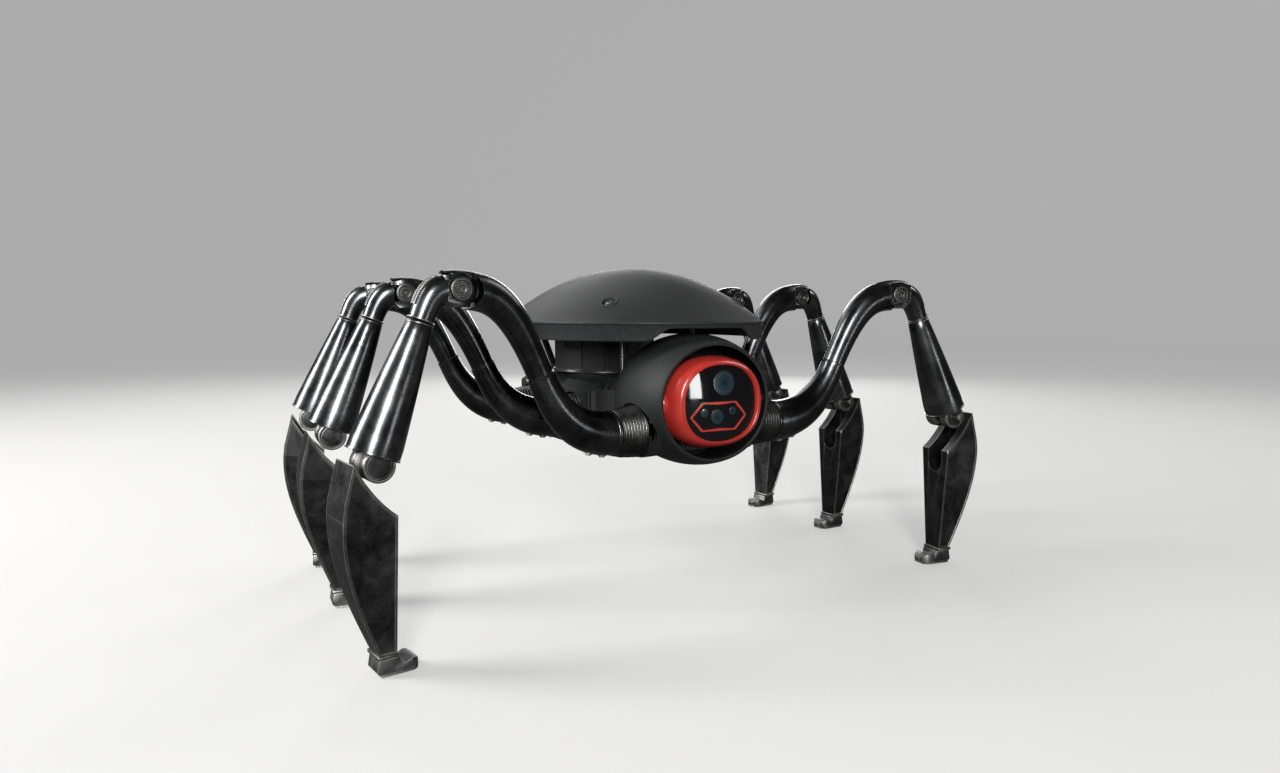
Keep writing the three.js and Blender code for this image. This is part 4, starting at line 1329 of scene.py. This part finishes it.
def hull_body():
    """The hull with a wider boss for each of the middle and rear pairs of legs."""
    front, back = HULL_LOW.y, HULL_HIGH.y
    bottom, top = HULL_LOW.z, HULL_HIGH.z
    hull = faceted_block("hull_body", HULL_HALF, front, back, bottom, top, HULL_BEVEL, 17)
    rows = [leg_frame(f"left_{row}").translation.y / MM for row in ("middle", "rear")]
    for y in rows:
        low, high = y - BOSS_HALF_LENGTH, y + BOSS_HALF_LENGTH
        boss = faceted_block("boss", HULL_HIGH.x, low, high, bottom + 3, top - 4, 7, 4)
        hull = joined(hull, boss)
    w = HULL_WALL
    within = (HULL_HALF - w, front + w, back - w, bottom + w, top - w)
    inside = faceted_block("inside", *within, HULL_BEVEL, 14)
    opening = block("opening", (-36, front + 12, bottom - 5), (36, back - 12, bottom + 12))
    doorway = block("doorway", (-30, front - 5, bottom + 12), (30, front + 10, top - 12))
    hull = cut(hull, inside, opening, doorway)
    sockets = [socket_cutter(label, 30, 90) for label in LEGS if not label.endswith("front")]
    return bevelled(cut(hull, *sockets), 1.4, 3, degrees=30)


def belly_cover():
    """The plate that closes the hull below, with rounded corners and six vent slots; belly_screws adds its
    screws.
    """
    low, high = body_box("belly_plate")
    outline = rounded_outline(high.x, low.y, high.y, 4, 6)
    plate = prism("belly_cover", outline, "Z", low.z, high.z)
    vents = []
    for i in range(6):
        y = mix(low.y, high.y, 0.5) + (i - 2.5) * 7
        slot = rounded_outline(16, y - 1.3, y + 1.3, 1.25, 6)
        vents.append(prism("vent", slot, "Z", low.z - 2, high.z + 2))
    return bevelled(cut(plate, *vents), 0.4, 2)


def belly_screws():
    low, high = body_box("belly_plate")
    flip = Matrix.Rotation(math.pi, 4, "X")
    screws = []
    for x in (low.x + 5, high.x - 5):
        for share in (0.04, 0.5, 0.96):
            place = Matrix.Translation((x, mix(low.y, high.y, share), low.z)) @ flip
            screws.append(small_screw("belly_screws", place, 1.7, 0.9))
    return joined(*screws)


# ---- The tilting camera --------------------------------------------------------------------------

WINDOW_HALF = (31.2, 28.4)
GLASS_Y = BEZEL_LOW.y + 3.2
GLASS_CROWN = 1.6
OVAL_POWER = 2.3


def glass_skin(across, up, sunk=0.0):
    """A point on the window's shallow front, at a place from its middle."""
    wide, high = abs(across / WINDOW_HALF[0]), abs(up / WINDOW_HALF[1])
    share = (wide**OVAL_POWER + high**OVAL_POWER) ** (1 / OVAL_POWER)
    return Vector((across, GLASS_Y - GLASS_CROWN * (1 - share**2) + sunk, TILT.z + up))


def oval_ring(share_x, share_z, y, half=(BEZEL_HIGH.x, (BEZEL_HIGH.z - BEZEL_LOW.z) / 2), count=160):
    """A ring of points round the camera's axis, a little squarer than an ellipse."""
    points = []
    for a in ring_angles(count):
        c, s = math.cos(a), math.sin(a)
        x = math.copysign(abs(c) ** (2 / OVAL_POWER), c)
        z = math.copysign(abs(s) ** (2 / OVAL_POWER), s)
        points.append(Vector((half[0] * share_x * x, y, TILT.z + half[1] * share_z * z)))
    return points


def bezel_ring():
    """The red surround: a full round bulge, then a groove and a narrow inner lip at the window."""
    front, back = BEZEL_LOW.y, BEZEL_HIGH.y
    half = (BEZEL_HIGH.x, (BEZEL_HIGH.z - BEZEL_LOW.z) / 2)
    lip_x, lip_z = WINDOW_HALF[0] / half[0], WINDOW_HALF[1] / half[1]
    depth = back - front
    profile = [(0.9, 0.0), (0.955, 0.1), (0.99, 0.24), (1.0, 0.4), (0.99, 0.55), (0.965, 0.7), (0.93, 0.82)]
    profile += [(0.89, 0.91), (0.86, 0.955), (0.845, 0.965), (0.838, 0.955), (0.832, 0.965), (0.826, 0.985)]
    rows = [oval_ring(share, share, back - depth * along) for share, along in profile]
    lip = [(0.024, 0.0, 0.05), (0.012, -0.008, 0.25), (0, -0.02, 1.0), (0, -0.02, depth)]
    rows += [oval_ring(lip_x + wider, lip_z + taller, front + inwards) for wider, taller, inwards in lip]
    ring = skin("bezel_ring", rows, looped=True, sharp_degrees=50)
    bosses = []
    for side in (-1, 1):
        place = Matrix.Translation((0, TILT.y, TILT.z)) @ Matrix.Rotation(math.radians(90 * side), 4, "Y")
        profile = [(4.4, 34), (8.8, 34), (8.4, 42.4), (7.8, 43.2), (5.2, 43.2), (4.4, 42.4)]
        bosses.append(turned("boss", profile, place, sides=64))
    hole = rod("hole", along_x((0, TILT.y, TILT.z)), 4.4, -60, 60, 48)
    return joined(cut(ring, hole), *bosses)


def glass_window():
    """The black window: a shallow convex glass set back inside the bezel."""
    half = (WINDOW_HALF[0] - 0.2, WINDOW_HALF[1] - 0.2)
    rows = [[Vector((0, GLASS_Y - GLASS_CROWN, TILT.z))]]
    for i in range(1, 25):
        share = i / 24
        rows.append(oval_ring(share, share, GLASS_Y - GLASS_CROWN * (1 - share**2), half))
    rows.append(oval_ring(1, 1, GLASS_Y + 3, half))
    rows.append([Vector((0, GLASS_Y + 3, TILT.z))])
    return skin("glass_window", rows)


LENSES = {  # across, up from the window's middle, radius
    "main_lens": (2.6, 14.8, 9.4),
    "centre_lens": (-3.4, -9.8, 5.7),
    "side_lens_a": (-14.4, -6.4, 3.4),
    "side_lens_b": (10.0, -5.8, 3.3),
}


def lens(name, across, up, radius):
    """One lens standing a hair proud of the glass: a thin dark ring round a shallow dome."""
    front = glass_skin(across, up, 0.12)
    sideways = glass_skin(across + 1, up) - glass_skin(across - 1, up)
    upwards = glass_skin(across, up + 1) - glass_skin(across, up - 1)
    facing = sideways.cross(upwards).to_track_quat("Z", "Y").to_matrix().to_4x4()
    place = Matrix.Translation(front) @ facing
    profile = [(0, -1.5), (radius, -1.5), (radius, 0.12)]
    for degrees in range(10, 90, 8):
        angle = math.radians(degrees)
        profile.append((radius * math.cos(angle), 0.12 + 0.18 * math.sin(angle)))
    return turned(name, profile + [(0, 0.3)], place, sides=72)


def hexagon(half_wide, half_flat, half_high, inset, reach=2.0):
    """A long hexagon moved in by inset, each corner turned by a short curve and each edge in steps."""
    corners = [(half_wide, 0), (half_flat, half_high), (-half_flat, half_high)]
    corners += [(-half_wide, 0), (-half_flat, -half_high), (half_flat, -half_high)]
    outline = []
    for i, corner in enumerate(corners):
        here = Vector(corner)
        back = (Vector(corners[i - 1]) - here).normalized()
        on = (Vector(corners[(i + 1) % len(corners)]) - here).normalized()
        middle = here + (back + on).normalized() * (inset / math.sin(back.angle(on) / 2))
        outline += [Vector(p) for p in bezier(middle + back * reach, middle, middle, middle + on * reach, 6)]
    stepped = []
    for here, after in zip(outline, outline[1:] + outline[:1]):
        count = max(1, round((after - here).length / 2))
        stepped += [here.lerp(after, i / count) for i in range(count)]
    return stepped


def sensor_outline():
    """A long hexagon line round the three lower lenses, a hair proud of the glass."""
    size, line, centre = (24.5, 15.0, 10.6), 1.9, (-1.8, -9.4)
    middle = Vector(centre)
    outer = [point + middle for point in hexagon(*size, 0)]
    inner = [point - (point - middle).normalized() * line for point in outer]
    rows = []
    for outline, sunk in ((outer, 0.3), (outer, -0.22), (inner, -0.22), (inner, 0.3)):
        rows.append([glass_skin(point.x, point.y, sunk) for point in outline])
    return skin("sensor_outline", rows, looped=True)


def build_camera():
    on_body(bezel_ring(), "camera", "bezel_red", "bezel_red", "camera_bezel")
    on_body(glass_window(), "camera", "window_black", "window_black", "camera_window")
    on_body(sensor_outline(), "camera", "bezel_red", "bezel_red")
    for name, (across, up, radius) in LENSES.items():
        glass = lens_blue(f"{name}_glass", across * MM, (TILT.z + up) * MM, radius * MM)
        on_body(lens(name, across, up, radius), "camera", glass, "window_black")


def build_body():
    on_body(dome_shell(), "torso", "dome_plastic", "dome_plastic", "dome_cover")
    on_body(joined(*[dimple_ring(m) for m in dimple_places()]), "torso", "dome_plastic", "dome_plastic")
    on_body(joined(*[dimple_screw(m) for m in dimple_places()]), "torso", "worn_metal", "worn_metal")
    on_body(dome_posts(), "torso", "pin_metal", "pin_metal")
    on_body(dome_struts(), "torso", "rubber", "shell_plastic")
    on_body(tower_drum(), "torso", "tower_plastic", "tower_plastic", "electronics_tower")
    on_body(pod_shell(), "torso", "shell_plastic", "shell_plastic", "head_shell")
    on_body(pod_bulkhead(), "torso", "rubber", "shell_plastic")
    on_body(hull_body(), "torso", "shell_plastic", "shell_plastic", "hull_shell")
    on_body(belly_cover(), "torso", "shell_plastic", "shell_plastic", "belly_plate")
    on_body(belly_screws(), "torso", "pin_metal", "pin_metal")
    for label in LEGS:
        on_body(socket_lining(label), "torso", "rubber", "shell_plastic")


def dress_frame_nodes():
    """The inner CAD nodes stay as they are, with a finish of their own."""
    inner = {
        "chassis_frame": "frame_metal",
        "battery_pack": "battery_wrap",
        "control_board": "board_laminate",
        "camera_core": "camera_body",
        "tilt_shaft": "pin_metal",
    }
    for node, finish in inner.items():
        mesh = frame["nodes"][node].data
        mesh.materials.clear()
        mesh.materials.append(FINISH[finish])


build_camera()
build_body()
dress_frame_nodes()


# ---- Floor, light and camera --------------------------------------------------------------------

FLOOR_TONE = (0.34, 0.336, 0.332)
FLOOR_GLOW = 0.38
FLOOR_TO_ROBOT = 0.1
AMBIENT = 0.06
CAMERA_PLACE = Vector((-0.3439, -0.63638, 0.2200))
CAMERA_HEADING = math.radians(-28.96)
CAMERA_PITCH = math.radians(5.09)
CAMERA_LENS = 23.59
ROBOT_MIDDLE = Vector((0, 0, 0.13))


def studio_bowl():
    """A pale floor that curves up into a plain surround. Only the camera sees it pale: to the
    robot it is dim, so the dark metal keeps its contrast."""
    level, bend, sides = 5.0, 2.5, 96
    profile = [(level * i / 10, 0.0) for i in range(1, 11)]
    for i in range(1, 13):
        angle = math.radians(7.5 * i)
        profile.append((level + bend * math.sin(angle), bend * (1 - math.cos(angle))))
    profile.append((level + bend, 9.0))
    bm = bmesh.new()
    rings = []
    for radius, height in profile:
        points = [(radius * math.cos(a), radius * math.sin(a), height) for a in ring_angles(sides)]
        rings.append([bm.verts.new(point) for point in points])
    middle = bm.verts.new((0, 0, 0))
    for k in range(sides):
        bm.faces.new((middle, rings[0][k], rings[0][(k + 1) % sides]))
    for low, high in zip(rings, rings[1:]):
        for k in range(sides):
            on = (k + 1) % sides
            bm.faces.new((low[k], high[k], high[on], low[on]))
    bmesh.ops.recalc_face_normals(bm, faces=bm.faces)
    floor = object_of("studio_floor", bm)
    s = Shader("floor_paint")
    tone = s.blend(s.span(s.noise(3, detail=4), 0.3, 0.7), FLOOR_TONE, tuple(0.97 * c for c in FLOOR_TONE))
    ray = s.add("ShaderNodeLightPath").outputs["Is Camera Ray"]
    seen = s.blend(ray, tuple(FLOOR_TO_ROBOT * c for c in FLOOR_TONE), tone)
    glow = s.math("ADD", AMBIENT, s.math("MULTIPLY", ray, FLOOR_GLOW - AMBIENT))
    s.bump(s.noise(500, detail=2), 0.0001, 0.3)
    s.set(Base_Color=seen, Roughness=0.85, Specular_IOR_Level=0.1)
    s.set(Emission_Color=(1, 1, 1), Emission_Strength=glow)
    s.material.cycles.emission_sampling = "NONE"
    floor.data.materials.append(s.material)


def dim_world():
    """What lies past the surround: a dim grey."""
    world = bpy.data.worlds.new("studio")
    bpy.context.scene.world = world
    world.use_nodes = True
    world.node_tree.nodes["Background"].inputs["Color"].default_value = (AMBIENT, AMBIENT, AMBIENT, 1)


def softbox(name, place, size, power, target=ROBOT_MIDDLE):
    light = bpy.data.lights.new(name, "AREA")
    light.shape = "RECTANGLE"
    light.size, light.size_y = size
    light.energy = power
    lamp = bpy.data.objects.new(name, light)
    bpy.context.scene.collection.objects.link(lamp)
    lamp.location = place
    lamp.rotation_euler = (target - Vector(place)).to_track_quat("-Z", "Y").to_euler()
    return lamp


def studio_light():
    softbox("front_strip", (-0.8, -1.5, 0.75), (0.3, 0.9), 31)
    softbox("left_window", (-1.6, 0.55, 1.05), (0.6, 1.2), 44)
    softbox("back_panel", (-0.1, 1.7, 1.5), (2.2, 1.0), 17)
    softbox("right_panel", (1.5, 0.1, 1.4), (0.7, 1.0), 7)
    softbox("rear_fill", (1.1, 1.7, 0.7), (0.9, 0.7), 14)
    softbox("window_card", (0.65, -1.6, 0.16), (0.13, 0.27), 1.6)


def photo_camera():
    data = bpy.data.cameras.new("camera")
    data.lens = CAMERA_LENS
    data.sensor_width = 36
    data.clip_start = 0.02
    data.clip_end = 60
    camera = bpy.data.objects.new("camera", data)
    bpy.context.scene.collection.objects.link(camera)
    camera.location = CAMERA_PLACE
    camera.rotation_euler = (math.pi / 2 - CAMERA_PITCH, 0, CAMERA_HEADING)
    bpy.context.scene.camera = camera


studio_bowl()
dim_world()
studio_light()
photo_camera()
bpy.context.scene.view_settings.view_transform = "Standard"
